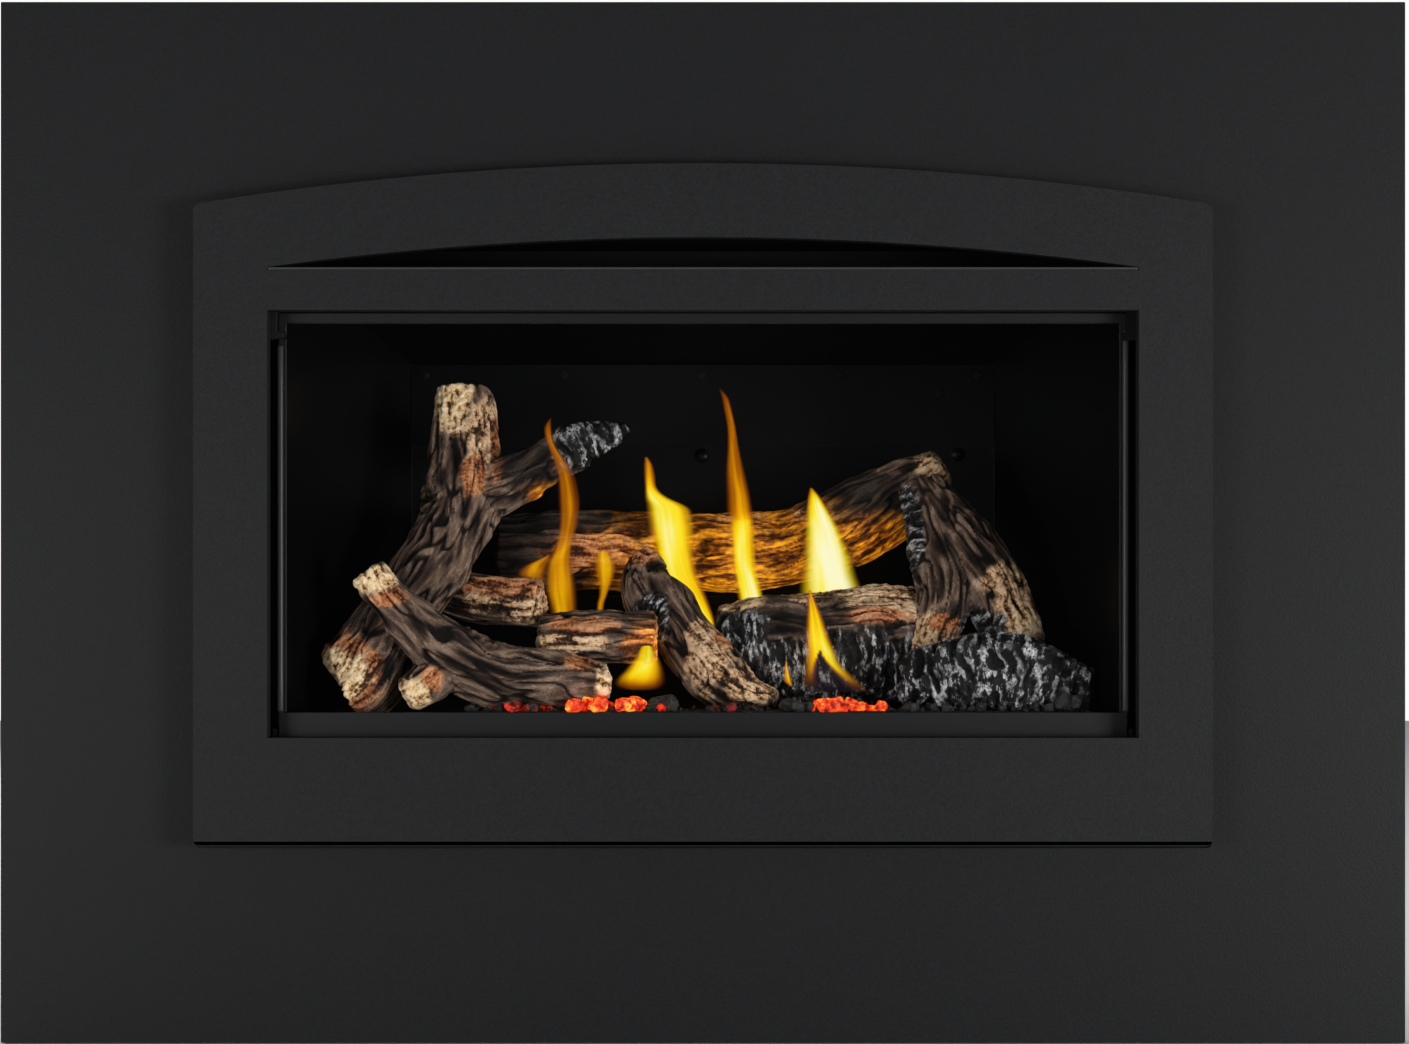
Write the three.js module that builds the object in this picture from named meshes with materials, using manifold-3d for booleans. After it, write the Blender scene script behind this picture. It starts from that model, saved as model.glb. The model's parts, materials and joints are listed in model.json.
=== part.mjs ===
// A direct-vent gas fireplace insert: arched faceplate, four-sided surround, glass door and ceramic logs.
// Millimetres. +X is the viewer's right, +Y runs into the wall, +Z is up.
// The origin is the centre of the casing's underside.
import * as THREE from 'three';
import { mergeVertices } from 'three/addons/utils/BufferGeometryUtils.js';
import Module from 'manifold-3d';

const wasm = await Module();
wasm.setup();

// ---------------------------------------------------------------- driving dimensions

const gap = 0.3;                  // clearance between pieces that touch
const runningGap = 1.2;           // clearance round pieces that turn

// Casing, folded from sheet
const casingWidth = 672;
const casingDepth = 380;
const casingSheet = 1.6;
const casingHeadroom = 12.3;      // casing above the air outlet's apex
const casingFlange = 14;          // width of the folded edges
const baseLip = 18;               // upturned front edge of the base
const topLip = 9;                 // downturned front edge of the top

// Surround
const surroundWidth = 1016;
const surroundHeight = 753;
const surroundDrop = 152;         // how far it reaches below the casing's underside
const surroundSheet = 2;
const surroundRim = 25;           // folded edge, back to the wall
const surroundClearance = 3;      // round the casing
const bracketLeg = 25;
const bracketLength = 220;

// Faceplate
const plateLap = 28;              // faceplate beyond the casing on each side
const plateStile = 52.8;          // plate beside the window
const plateSheet = 2;
const plateProud = 24;            // its face ahead of the surround's
const plateDrop = 8.4;            // how far it reaches below the casing's underside
const plateRise = 29.2;           // rise of its arched top
const plateTab = 24;              // height of the tabs that plug into the casing
const plateTabReach = 6;          // how far a tab passes through the casing's flange
const plateTabInset = 22.5;       // from the window's top and bottom edges
const windowHeight = 305.5;
const windowReturn = 14;          // folded edge of the window
const slotBar = 28.5;             // plate between window and air outlet
const slotEnd = 2.3;              // height of the air outlet at its ends
const slotRise = 21.3;            // rise of its arched top above them
const crownBand = 52.8;           // plate above the air outlet's apex
const slotReturn = 11;            // folded edge of the air outlet
const intakeSlot = 56;            // length of each air intake in the plate's underside
const intakeWidth = 9;
const intakePitch = 80;

// Glass door
const doorReveal = 4.6;           // gap between the window's edge and the door
const doorSkirt = 6;              // door hidden behind the bottom rail
const doorSheet = 1.2;
const doorLedge = 22.7;           // height of the bottom channel
const doorBead = 6.5;             // height of the top channel
const doorStile = 3.6;            // width of the side channels
const glassThickness = 5;
const gasketWidth = 5.7;
const gasketThickness = 5;
const hingePinRadius = 3;
const hingePinReach = 7;          // length of a pin outside the door's side
const lugSheet = 3;
const lugBelow = 11;              // lug below and above the pin
const lugAbove = 7;

// Firebox
const fireboxSheet = 2;
const mouthMargin = 7.2;          // window wider than the firebox's mouth on each side
const mouthSill = 13.9;           // mouth above the window's bottom edge
const mouthLintel = 3.6;          // mouth below the window's top edge
const mouthInset = 13.6;          // firebox front behind the casing's front edges
const fireboxTaper = 60.5;        // each side leans in by this much, front to back
const fireboxInside = 282;        // depth inside the liners
const linerSheet = 4;
const linerStep = 2;              // upper back panel ahead of the lower one
const linerStepDrop = 78;         // step below the mouth's top
const baffleLift = 17;            // baffle's front above the mouth
const baffleFall = 25.2;          // from its level front down to the back liner
const baffleRun = 140;            // length of the slope, front to back
const baffleSheet = 2;
const baffleRoom = 2;             // between baffle and firebox top
const hoodDepth = 70;
const hoodLip = 9;

// Burner
const deckRise = 17;              // deck above the firebox floor's underside
const deckDrop = 1;               // deck below the firebox's mouth
const deckSheet = 2;
const deckDepth = 225;
const deckMargin = 9;             // pan inside the liners
const deckSetback = 12;           // pan behind the firebox's front
const portLength = 12;
const portWidth = 2.4;
const portPitch = 28;
const portRowPitch = 60;
const venturiX = 44;
const venturiSetback = 172;       // venturi and injector behind the deck's front edge
const venturiNeck = 15;
const venturiThroat = 10;
const venturiBell = 19;
const venturiWall = 1.4;
const injectorHalf = 8;
const nozzleRadius = 4;

// Gas train and controls
const panelSheet = 1.6;
const panelWidth = 168;
const panelHeadroom = 6;          // under the firebox's floor
const panelSetback = 30;          // control panel behind the casing's front
const panelCentre = -146;
const panelFoot = 22;
const controlHeight = 33;         // axis of knobs and button above the casing's underside
const controlPitch = 40;
const knobRadius = 15;
const knobLength = 17;
const stemRadius = 3;
const buttonRadius = 8;
const buttonTravel = 5;
const valveWidth = 70;
const valveDepth = 52;
const valveHeight = 44;
const valveShoulder = 10;
const towerRadius = 11;           // regulator on top of the valve
const towerHeadroom = 5;          // under the firebox's floor
const outletBoss = 6;             // valve's outlet, to the rear
const valveOffset = -11;          // valve's middle from the panel's
const igniterRadius = 9;
const igniterLength = 38;
const pipeRadius = 5;
const pipeBend = 30;              // length that a pipe takes to turn
const nutRadius = 11;
const nutLength = 13;
const switchBoxWidth = 104;
const switchBoxDepth = 58;
const switchBoxHeight = 50;
const switchBoxCentre = 176;
const rockerWidth = 13;
const rockerHalfHeight = 10;
const rockerTilt = 12;            // degrees either side of the middle
const rockerRoom = 1.4;           // above and below the rocker
const rockerPivot = 2.5;          // its axle behind the box's front
const axleRadius = 1.4;
const rockerOffset = 24;          // rocker left of the box's centre, fan knob right of it
const fanKnobRadius = 13;
const fanKnobLength = 15.3;
const fanStem = 12;               // fan knob's stem inside the box
const inletHeight = 40;           // gas inlet in the casing's left side
const inletSetback = 90;          // behind the casing's front

// Blower
const wheelRadius = 24;
const wheelLength = 236;
const wheelBlades = 20;
const bladeDepth = 5.5;
const wheelDisc = 1.5;            // thickness of its end discs
const wheelHubRadius = 4;
const wheelHeadroom = 6;          // under the firebox's floor
const wheelSetback = 36;          // wheel axis ahead of the casing's rear edge
const wheelX = -24;               // middle of the wheel
const blowerSheet = 1.6;
const scrollRoom = 4;             // round the wheel
const scrollLift = 4.5;           // scroll above the base
const shaftReach = 16;            // wheel's shaft beyond its right-hand disc
const motorRadius = 26;
const motorLength = 46;
const motorBevel = 5;

// Vent collars
const collarRadius = 38;
const collarWall = 2;
const collarRise = 46;            // above the casing's top
const collarPitch = 170;
const collarSetback = 32;         // axis ahead of the back liner
const collarFlange = 14;

// Latches. The right one sits further out than the left one, and is narrower and shorter.
const latchPivotLift = 20;        // pivot above the door's top
const latchSheet = 3;
const latchOut = 3;               // arm ahead of the door's face; its pad closes this
const latchEyeRadius = 6;
const latchPinRadius = 2;
const leftLatch = { lap: 12.1, width: 20, foot: 29, notch: 12 };
const rightLatch = { lap: 1.1, width: 16, foot: 20, notch: 0 };
const earSheet = 2;

// Pilot
const pilotX = 96;
const pilotSetback = 158;         // back of its bracket behind the deck's front edge
const pilotShelf = 22;            // shelf above the deck
const pilotShelfDepth = 16;
const pilotWidth = 36;
const pilotSheet = 1.6;

// Log set. Its tables count from the middle of the deck's front edge, in units of which the
// firebox's mouth takes this many.
const mouthUnits = 608;
const restHalfWidth = 112;
const restSetback = 182;          // middle of the log rest behind the deck's front edge
const restWidth = 14;             // front to back
const restBar = 6;
const restFoot = 16;
const restHeight = 86;            // above the deck
const bedDepth = 40;              // ember bed, front to back
const bedHeight = 3.2;

// Positions that follow
const casingFront = -casingDepth / 2;
const casingRear = casingDepth / 2;
const casingInside = casingWidth / 2 - casingSheet - gap;
const baseTop = casingSheet + gap;
const wheelAxisHeight = baseTop + scrollLift + blowerSheet + scrollRoom + wheelRadius;
const fireboxFloorHeight = wheelAxisHeight + wheelRadius + wheelHeadroom;
const floorTop = fireboxFloorHeight + fireboxSheet + gap;
const deckHeight = fireboxFloorHeight + deckRise;
const deckSeat = deckHeight + gap;
const mouthBottom = deckHeight + deckDrop;
const windowBottom = mouthBottom - mouthSill;
const windowTop = windowBottom + windowHeight;
const mouthTop = windowTop - mouthLintel;
const baffleFrontHeight = mouthTop + baffleLift;
const baffleRearHeight = baffleFrontHeight - baffleFall;
const fireboxTop = baffleFrontHeight + baffleSheet + baffleRoom;
const slotBottom = windowTop + slotBar;
const slotApex = slotBottom + slotEnd + slotRise;
const casingHeight = slotApex + casingHeadroom;

const surroundFront = casingFront;
const plateWidth = casingWidth + 2 * plateLap;
const windowWidth = plateWidth - 2 * plateStile;
const plateFront = surroundFront - plateProud;
const plateBottom = -plateDrop;
const plateApex = slotApex + crownBand;
const plateSpring = plateApex - plateRise;
const slotSpring = slotBottom + slotEnd;
const doorHalfWidth = windowWidth / 2 - doorReveal;
const doorTop = windowTop;
const doorBottom = windowBottom - doorSkirt;
const mouthPlane = casingFront + mouthInset;
const doorDepth = glassThickness + 2 * (doorSheet + gap);
const doorBack = mouthPlane - gap - gasketThickness - gap;
const doorFront = doorBack - doorDepth;
const fireboxMouth = windowWidth - 2 * mouthMargin;
const fireboxFront = mouthPlane + fireboxSheet;
const fireboxBack = fireboxFront + gap + fireboxInside;
const collarY = fireboxBack - collarSetback;
const deckFront = fireboxFront + deckSetback;
const deckRear = deckFront + deckDepth;
const venturiY = deckFront + venturiSetback;
const inletY = casingFront + inletSetback;
const unit = fireboxMouth / mouthUnits;

// ---------------------------------------------------------------- shaping

const curveSteps = 8;              // an arc gets twice as many facets

// Joins the doubled vertices of a geometry and drops the flat triangles that a pole or an axis leaves.
function toSolid(geometry) {
  const bare = geometry.clone();
  bare.deleteAttribute('normal');
  bare.deleteAttribute('uv');
  const merged = mergeVertices(bare, 1e-4);
  const corners = Array.from(merged.index.array);
  const triangles = [];
  for (let i = 0; i < corners.length; i += 3) {
    const [a, b, c] = corners.slice(i, i + 3);
    if (a !== b && b !== c && c !== a) triangles.push(a, b, c);
  }
  return new wasm.Manifold(new wasm.Mesh({
    numProp: 3,
    vertProperties: new Float32Array(merged.attributes.position.array),
    triVerts: new Uint32Array(triangles),
  }));
}

function toGeometry(solid) {
  const mesh = solid.getMesh();
  const geometry = new THREE.BufferGeometry();
  geometry.setAttribute('position', new THREE.BufferAttribute(new Float32Array(mesh.vertProperties), 3));
  geometry.setIndex(new THREE.BufferAttribute(new Uint32Array(mesh.triVerts), 1));
  geometry.computeVertexNormals();
  return geometry;
}

const join = (...solids) => solids.reduce((whole, solid) => whole.add(solid));
const cut = (solid, ...tools) => tools.reduce((whole, tool) => whole.subtract(tool), solid);

// A block between two corners.
function block(x0, x1, y0, y1, z0, z1) {
  const geometry = new THREE.BoxGeometry(x1 - x0, y1 - y0, z1 - z0);
  geometry.translate((x0 + x1) / 2, (y0 + y1) / 2, (z0 + z1) / 2);
  return toSolid(geometry);
}

// An outline of points, with an optional list of hole outlines.
function outline(points, holes = []) {
  const shape = new THREE.Shape(points.map(([u, v]) => new THREE.Vector2(u, v)));
  shape.holes = holes.map((hole) => new THREE.Path(hole.map(([u, v]) => new THREE.Vector2(u, v))));
  return shape;
}

const rectangle = (u0, u1, v0, v1) => [[u0, v0], [u1, v0], [u1, v1], [u0, v1]];

function extrude(shape, depth, curveSegments = curveSteps) {
  return new THREE.ExtrudeGeometry(shape, { depth, bevelEnabled: false, curveSegments });
}

// A shape drawn as seen from the front (x, z), running back from y0 to y1.
function facing(shape, y0, y1) {
  const geometry = extrude(shape, y1 - y0);
  geometry.rotateX(Math.PI / 2);
  geometry.translate(0, y1, 0);
  return toSolid(geometry);
}

// A shape drawn in plan (x, y), running up from z0 to z1.
function lying(shape, z0, z1) {
  const geometry = extrude(shape, z1 - z0);
  geometry.translate(0, 0, z0);
  return toSolid(geometry);
}

// A shape drawn as seen from the side (y, z), running from x0 to x1.
function sideways(shape, x0, x1, curveSegments) {
  const geometry = extrude(shape, x1 - x0, curveSegments);
  geometry.applyMatrix4(new THREE.Matrix4().set(0, 0, 1, 0, 1, 0, 0, 0, 0, 1, 0, 0, 0, 0, 0, 1));
  geometry.translate(x0, 0, 0);
  return toSolid(geometry);
}

// A profile of (radius, height) points, up its outer side and down its inner one, turned about the
// named axis. Heights run along +Z or +X, or forward along -Y.
function turned(profile, sides, axis = 'z') {
  const points = profile.map(([radius, height]) => new THREE.Vector2(radius, height));
  const geometry = new THREE.LatheGeometry(points, sides);
  if (axis === 'z') geometry.rotateX(Math.PI / 2);
  if (axis === 'x') geometry.rotateZ(-Math.PI / 2);
  if (axis === 'y') geometry.rotateX(Math.PI);
  return toSolid(geometry);
}

const disc = (radius, low, high) => [[0, low], [radius, low], [radius, high], [0, high]];

// A round pipe along a curve.
function pipe(points, radius, sides, steps) {
  const path = new THREE.CatmullRomCurve3(points.map((point) => new THREE.Vector3(...point)));
  const section = new THREE.Shape().absarc(0, 0, radius, 0, 2 * Math.PI);
  return toSolid(new THREE.ExtrudeGeometry(section, {
    steps, extrudePath: path, bevelEnabled: false, curveSegments: sides / 2,
  }));
}

// ---------------------------------------------------------------- pieces

const insert = new THREE.Group();

const finishes = {
  powderCoat: { color: 0x2a2b2d, roughness: 0.62, metalness: 0.2 },
  galvanised: { color: 0x8d9093, roughness: 0.45, metalness: 0.8 },
  blackSteel: { color: 0x161719, roughness: 0.5, metalness: 0.5 },
  porcelain: { color: 0x0b0b0d, roughness: 0.12, metalness: 0.1 },
  glass: { color: 0xdfe5e6, roughness: 0.03, metalness: 0 },
  rope: { color: 0x3a3835, roughness: 0.95, metalness: 0 },
  bark: { color: 0x6b5444, roughness: 0.95, metalness: 0 },
  ember: { color: 0x3c2a22, roughness: 1, metalness: 0 },
  brass: { color: 0xb08d4a, roughness: 0.35, metalness: 0.9 },
  aluminium: { color: 0xa9abad, roughness: 0.4, metalness: 0.8 },
  ceramic: { color: 0xd9d4c8, roughness: 0.6, metalness: 0 },
  plastic: { color: 0x1a1a1b, roughness: 0.4, metalness: 0 },
};

function add(name, solid, finish, group = insert, place = [0, 0, 0]) {
  const mesh = new THREE.Mesh(toGeometry(solid), new THREE.MeshStandardMaterial(finishes[finish]));
  mesh.name = name;
  mesh.position.set(...place);
  group.add(mesh);
}

function subassembly() {
  const group = new THREE.Group();
  insert.add(group);
  return group;
}

// ---- Casing

// Each side is one sheet with its front and rear edges folded inwards.
// The faceplate's tabs plug into two openings in the front edge.
function casingSide(side) {
  const outer = casingWidth / 2;
  const inner = outer - casingSheet;
  const fold = outer - casingFlange;
  const plan = [
    [fold, casingFront], [outer, casingFront], [outer, casingRear], [fold, casingRear],
    [fold, casingRear - casingSheet], [inner, casingRear - casingSheet],
    [inner, casingFront + casingSheet], [fold, casingFront + casingSheet],
  ];
  const sheet = lying(outline(plan), 0, casingHeight);
  const openings = tabHeights().map((low) => block(
    tabInner - gap, tabOuter + gap,
    casingFront - gap, casingFront + casingSheet + gap,
    low - gap, low + plateTab + gap,
  ));
  const right = cut(sheet, ...openings);
  return side < 0 ? cut(mirrored(right), inletHole()) : right;
}

// The gas supply comes in through the left side.
function inletHole() {
  const profile = disc(pipeRadius + runningGap / 2, -casingFlange, casingFlange);
  return turned(profile, 16, 'x').translate([-casingWidth / 2, inletY, inletHeight]);
}

// The left-hand twin of a piece.
function mirrored(solid) {
  return solid.mirror([1, 0, 0]);
}

const tabOuter = casingWidth / 2 - casingSheet - 2 * runningGap;
const tabInner = tabOuter - plateSheet;

// Undersides of the lower and upper tabs.
function tabHeights() {
  return [windowBottom + plateTabInset, windowTop - plateTabInset - plateTab];
}

// The base is a tray with its front edge turned up. It lies between the sides.
function casingBase() {
  const front = casingFront + casingSheet + gap;
  const rear = casingRear - casingSheet - gap;
  const section = [
    [front, 0], [rear, 0], [rear, casingSheet], [front + casingSheet, casingSheet],
    [front + casingSheet, baseLip], [front, baseLip],
  ];
  return sideways(outline(section), -casingInside, casingInside);
}

function casingBack() {
  const rear = casingRear - casingSheet - gap;
  const low = casingSheet + gap;
  const high = casingHeight - casingSheet - gap;
  return block(-casingInside, casingInside, rear - casingSheet, rear, low, high);
}

// The top is folded down at the front and has a round hole for each vent collar.
function casingTop() {
  const front = casingFront + casingSheet + gap;
  const rear = casingRear - casingSheet - gap;
  const section = [
    [front, casingHeight - topLip], [front + casingSheet, casingHeight - topLip],
    [front + casingSheet, casingHeight - casingSheet], [rear, casingHeight - casingSheet],
    [rear, casingHeight], [front, casingHeight],
  ];
  const sheet = sideways(outline(section), -casingInside, casingInside);
  return cut(sheet, ...collarHoles(casingHeight));
}

function collarHoles(height) {
  const profile = disc(collarRadius + gap, height - 3 * casingSheet, height + 3 * casingSheet);
  return [-1, 1].map((side) => turned(profile, 24).translate([side * collarPitch / 2, collarY, 0]));
}

add('casing_base', casingBase(), 'galvanised');
add('casing_left_side', casingSide(-1), 'galvanised');
add('casing_right_side', casingSide(1), 'galvanised');
add('casing_back', casingBack(), 'galvanised');
add('casing_top', casingTop(), 'galvanised');

// ---- Surround

// A flat plate with its outer edge folded back to the wall, open round the casing.
function surroundPlate() {
  const half = surroundWidth / 2;
  const low = -surroundDrop;
  const high = low + surroundHeight;
  const open = casingWidth / 2 + surroundClearance;
  const opening = rectangle(-open, open, -surroundClearance, casingHeight + surroundClearance);
  const outer = rectangle(-half, half, low, high);
  const inner = rectangle(
    surroundSheet - half, half - surroundSheet, low + surroundSheet, high - surroundSheet);
  const plate = facing(outline(outer, [opening]), surroundFront, surroundFront + surroundSheet);
  const rim = facing(outline(outer, [inner]), surroundFront, surroundFront + surroundRim);
  return join(plate, rim);
}

// Angle brackets carry the plate on the casing's sides.
function surroundBracket(side) {
  const inner = casingWidth / 2 + gap;
  const front = surroundFront + surroundSheet + gap;
  const low = (casingHeight - bracketLength) / 2;
  const plan = [
    [inner, front], [inner + bracketLeg, front], [inner + bracketLeg, front + surroundSheet],
    [inner + surroundSheet, front + surroundSheet], [inner + surroundSheet, front + bracketLeg],
    [inner, front + bracketLeg],
  ];
  const right = lying(outline(plan), low, low + bracketLength);
  return side < 0 ? mirrored(right) : right;
}

add('surround_plate', surroundPlate(), 'powderCoat');
add('surround_bracket_left', surroundBracket(-1), 'galvanised');
add('surround_bracket_right', surroundBracket(1), 'galvanised');

// ---- Faceplate

// A flat-bottomed outline whose upright sides end at spring, under an arc of the given rise.
// A margin widens it all round.
function arched(halfWidth, bottom, spring, rise, margin = 0) {
  const radius = (halfWidth ** 2 + rise ** 2) / (2 * rise);
  const centre = spring + rise - radius;
  const start = Math.acos((halfWidth + margin) / (radius + margin));
  const shape = new THREE.Shape();
  shape.moveTo(-halfWidth - margin, bottom - margin);
  shape.lineTo(halfWidth + margin, bottom - margin);
  shape.absarc(0, centre, radius + margin, start, Math.PI - start, false);
  shape.closePath();
  return shape;
}

const asHole = (shape) => new THREE.Path(shape.getPoints(curveSteps));

function faceplate() {
  const back = plateFront + plateSheet;
  const edge = (margin) => arched(plateWidth / 2, plateBottom, plateSpring, plateRise, margin);
  const slot = (margin) => arched(windowWidth / 2, slotBottom, slotSpring, slotRise, margin);
  const window = (margin) => rectangle(
    -windowWidth / 2 - margin, windowWidth / 2 + margin, windowBottom - margin, windowTop + margin);
  const frame = (outer, inner, depth) => {
    outer.holes = [asHole(inner)];
    return facing(outer, plateFront, plateFront + depth);
  };
  const face = edge(0);
  face.holes = [asHole(outline(window(0))), asHole(slot(0))];
  const rim = frame(edge(0), edge(-plateSheet), plateProud - gap);
  const slotFold = frame(slot(plateSheet), slot(0), slotReturn);
  const windowFold = frame(outline(window(plateSheet)), outline(window(0)), windowReturn);
  const tabs = [];
  for (const low of tabHeights()) {
    const tab = block(
      tabInner, tabOuter, back - plateSheet / 2,
      casingFront + casingSheet + plateTabReach, low, low + plateTab);
    tabs.push(tab, mirrored(tab));
  }
  const intakes = [];
  const count = Math.floor((plateWidth - intakePitch) / intakePitch);
  for (let i = 0; i < count; i += 1) {
    const middle = (i - (count - 1) / 2) * intakePitch;
    intakes.push(block(
      middle - intakeSlot / 2, middle + intakeSlot / 2,
      back + intakeWidth / 2, back + intakeWidth * 1.5,
      plateBottom - plateSheet, plateBottom + 2 * plateSheet));
  }
  const plate = facing(face, plateFront, back);
  return cut(join(plate, rim, slotFold, windowFold, ...tabs), ...intakes);
}

add('faceplate', faceplate(), 'powderCoat', subassembly());

// ---- Firebox

// Half the firebox's width inside its liners, at a place along its depth.
const fireboxSlope = fireboxTaper / (fireboxInside + linerSheet);
const halfWidthAt = (y) => fireboxMouth / 2 - (y - fireboxFront) * fireboxSlope;

// A symmetric plan that follows the taper between two depths, widened by a margin.
function taperedPlan(y0, y1, margin) {
  return [
    [-halfWidthAt(y0) - margin, y0], [halfWidthAt(y0) + margin, y0],
    [halfWidthAt(y1) + margin, y1], [-halfWidthAt(y1) - margin, y1],
  ];
}

const shellMargin = linerSheet + gap;
const shellBack = fireboxBack + linerSheet + gap;

// The upright front that the door seals against, with the lugs that carry the door.
function fireboxFace() {
  const half = fireboxMouth / 2;
  const low = fireboxFloorHeight;
  const high = fireboxTop + 2 * gap + fireboxSheet;
  const face = outline(
    rectangle(-casingInside, casingInside, low, high),
    [rectangle(-half, half, mouthBottom, mouthTop)],
  );
  return join(facing(face, mouthPlane, mouthPlane + fireboxSheet), doorLug(-1), doorLug(1));
}

// The shell wraps the sides and back. Its front is open.
function fireboxShell() {
  const front = fireboxFront + gap;
  const outer = taperedPlan(front, shellBack + fireboxSheet, shellMargin + fireboxSheet);
  const inner = taperedPlan(front - fireboxSheet, shellBack, shellMargin);
  return cut(
    lying(outline(outer), floorTop, fireboxTop),
    lying(outline(inner), floorTop - fireboxSheet, fireboxTop + fireboxSheet));
}

function fireboxPlate(low, holes) {
  const plan = taperedPlan(fireboxFront + gap, shellBack + fireboxSheet, shellMargin + fireboxSheet);
  return cut(lying(outline(plan), low, low + fireboxSheet), ...holes);
}

function venturiHole() {
  const profile = disc(
    venturiNeck + gap, fireboxFloorHeight - fireboxSheet, fireboxFloorHeight + 2 * fireboxSheet);
  return turned(profile, 20).translate([venturiX, venturiY, 0]);
}

// Underside of the sloping baffle at a place along its depth.
const baffleSlope = baffleFall / baffleRun;
const baffleAt = (y) => baffleRearHeight + (fireboxBack - y) * baffleSlope;

// A side liner stands between the floor and the top, and the baffle rests against it.
function sideLiner(side) {
  const y0 = fireboxFront + gap;
  const y1 = fireboxBack - gap;
  const plan = [
    [halfWidthAt(y0), y0], [halfWidthAt(y0) + linerSheet, y0],
    [halfWidthAt(y1) + linerSheet, y1], [halfWidthAt(y1), y1],
  ];
  const right = lying(outline(plan), floorTop, fireboxTop);
  return side < 0 ? mirrored(right) : right;
}

// The back liner: the upper panel laps over the lower one.
function backLiner() {
  const back = fireboxBack + linerSheet;
  const high = baffleAt(back) - gap;
  const step = mouthTop - linerStepDrop;
  const section = [
    [fireboxBack, floorTop], [back, floorTop], [back, high], [fireboxBack - linerStep, high],
    [fireboxBack - linerStep, step], [fireboxBack, step],
  ];
  const half = halfWidthAt(fireboxBack) - gap;
  return sideways(outline(section), -half, half);
}

// The baffle slopes up from the back liner and runs level to the front.
function ceilingBaffle() {
  const bend = fireboxBack - baffleRun;
  const front = fireboxFront + gap;
  const section = [
    [fireboxBack + linerSheet, baffleAt(fireboxBack + linerSheet)], [bend, baffleFrontHeight],
    [front, baffleFrontHeight], [front, baffleFrontHeight + baffleSheet],
    [bend, baffleFrontHeight + baffleSheet],
    [fireboxBack + linerSheet, baffleAt(fireboxBack + linerSheet) + baffleSheet],
  ].reverse();
  const half = fireboxMouth / 2;
  const plan = taperedPlan(front - baffleSheet, fireboxBack + linerSheet + baffleSheet, -gap);
  const whole = sideways(outline(section), -half, half);
  return whole.intersect(lying(outline(plan), baffleRearHeight - baffleFall, fireboxTop));
}

const firebox = subassembly();
add('firebox_shell', fireboxShell(), 'galvanised', firebox);
add('firebox_floor', fireboxPlate(fireboxFloorHeight, [venturiHole()]), 'blackSteel', firebox);
add('firebox_top', fireboxPlate(fireboxTop + gap, collarHoles(fireboxTop)), 'galvanised', firebox);
add('liner_left', sideLiner(-1), 'porcelain', firebox);
add('liner_right', sideLiner(1), 'porcelain', firebox);
add('liner_back', backLiner(), 'porcelain', firebox);
add('ceiling_baffle', ceilingBaffle(), 'porcelain', firebox);

// Guides the warm air from over the firebox to the outlet in the faceplate.
function outletHood() {
  const low = fireboxTop + fireboxSheet + 3 * gap;
  const front = mouthPlane;
  const rear = front + hoodDepth;
  const section = [
    [front, low], [rear, low], [rear, low + casingSheet], [front + casingSheet, low + casingSheet],
    [front + casingSheet, slotBottom + casingSheet], [front - hoodLip, slotBottom + casingSheet],
    [front - hoodLip, slotBottom], [front, slotBottom],
  ];
  return sideways(outline(section), -casingInside, casingInside);
}

add('outlet_hood', outletHood(), 'blackSteel', firebox);

// ---- Vent collars

// Each collar runs from the firebox's top through the casing's top, with a flange on the casing.
function ventCollar() {
  const inner = collarRadius - collarWall;
  const low = fireboxTop + gap;
  const high = casingHeight + collarRise;
  const flange = casingHeight + gap;
  return turned([
    [collarRadius, low], [collarRadius, flange], [collarRadius + collarFlange, flange],
    [collarRadius + collarFlange, flange + collarWall], [collarRadius, flange + collarWall],
    [collarRadius, high], [inner, high], [inner, low], [collarRadius, low],
  ], 24);
}

add('exhaust_collar', ventCollar(), 'galvanised', insert, [-collarPitch / 2, collarY, 0]);
add('intake_collar', ventCollar(), 'galvanised', insert, [collarPitch / 2, collarY, 0]);

// ---- Glass door

const doorAxisY = (doorFront + doorBack) / 2;
const doorAxisZ = doorBottom + hingePinRadius + doorSheet;

// One channel bent round all four edges of the glass, with a hinge pin at each lower corner.
function doorFrame() {
  const outer = doorHalfWidth;
  const window = rectangle(
    -outer + doorStile, outer - doorStile, doorBottom + doorLedge, doorTop - doorBead);
  const edge = rectangle(-outer, outer, doorBottom, doorTop);
  const whole = facing(outline(edge, [window]), doorFront, doorBack);
  const pocket = block(
    doorSheet - outer, outer - doorSheet, doorFront + doorSheet, doorBack - doorSheet,
    doorBottom + doorSheet, doorTop - doorSheet);
  const pin = turned(disc(hingePinRadius, -doorSheet, hingePinReach), 12, 'x');
  const right = pin.translate([outer, doorAxisY, doorAxisZ]);
  return join(cut(whole, pocket), right, mirrored(right));
}

// The welded lugs on the firebox's face that carry the door's pins.
function doorLug(side) {
  const inner = doorHalfWidth + runningGap;
  const low = doorAxisZ - lugBelow;
  const high = doorAxisZ + lugAbove;
  const front = doorFront - casingSheet;
  const weld = mouthPlane + fireboxSheet / 2;
  const plate = sideways(outline(rectangle(front, weld, low, high)), inner, inner + lugSheet);
  const foot = facing(
    outline(rectangle(inner, casingWidth / 2 - casingFlange - gap, low, high)),
    mouthPlane - casingSheet, weld);
  const hole = turned(disc(hingePinRadius + runningGap / 2, -lugSheet, 2 * lugSheet), 16, 'x');
  const right = cut(join(plate, foot), hole.translate([inner, doorAxisY, doorAxisZ]));
  return side < 0 ? mirrored(right) : right;
}

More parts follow.
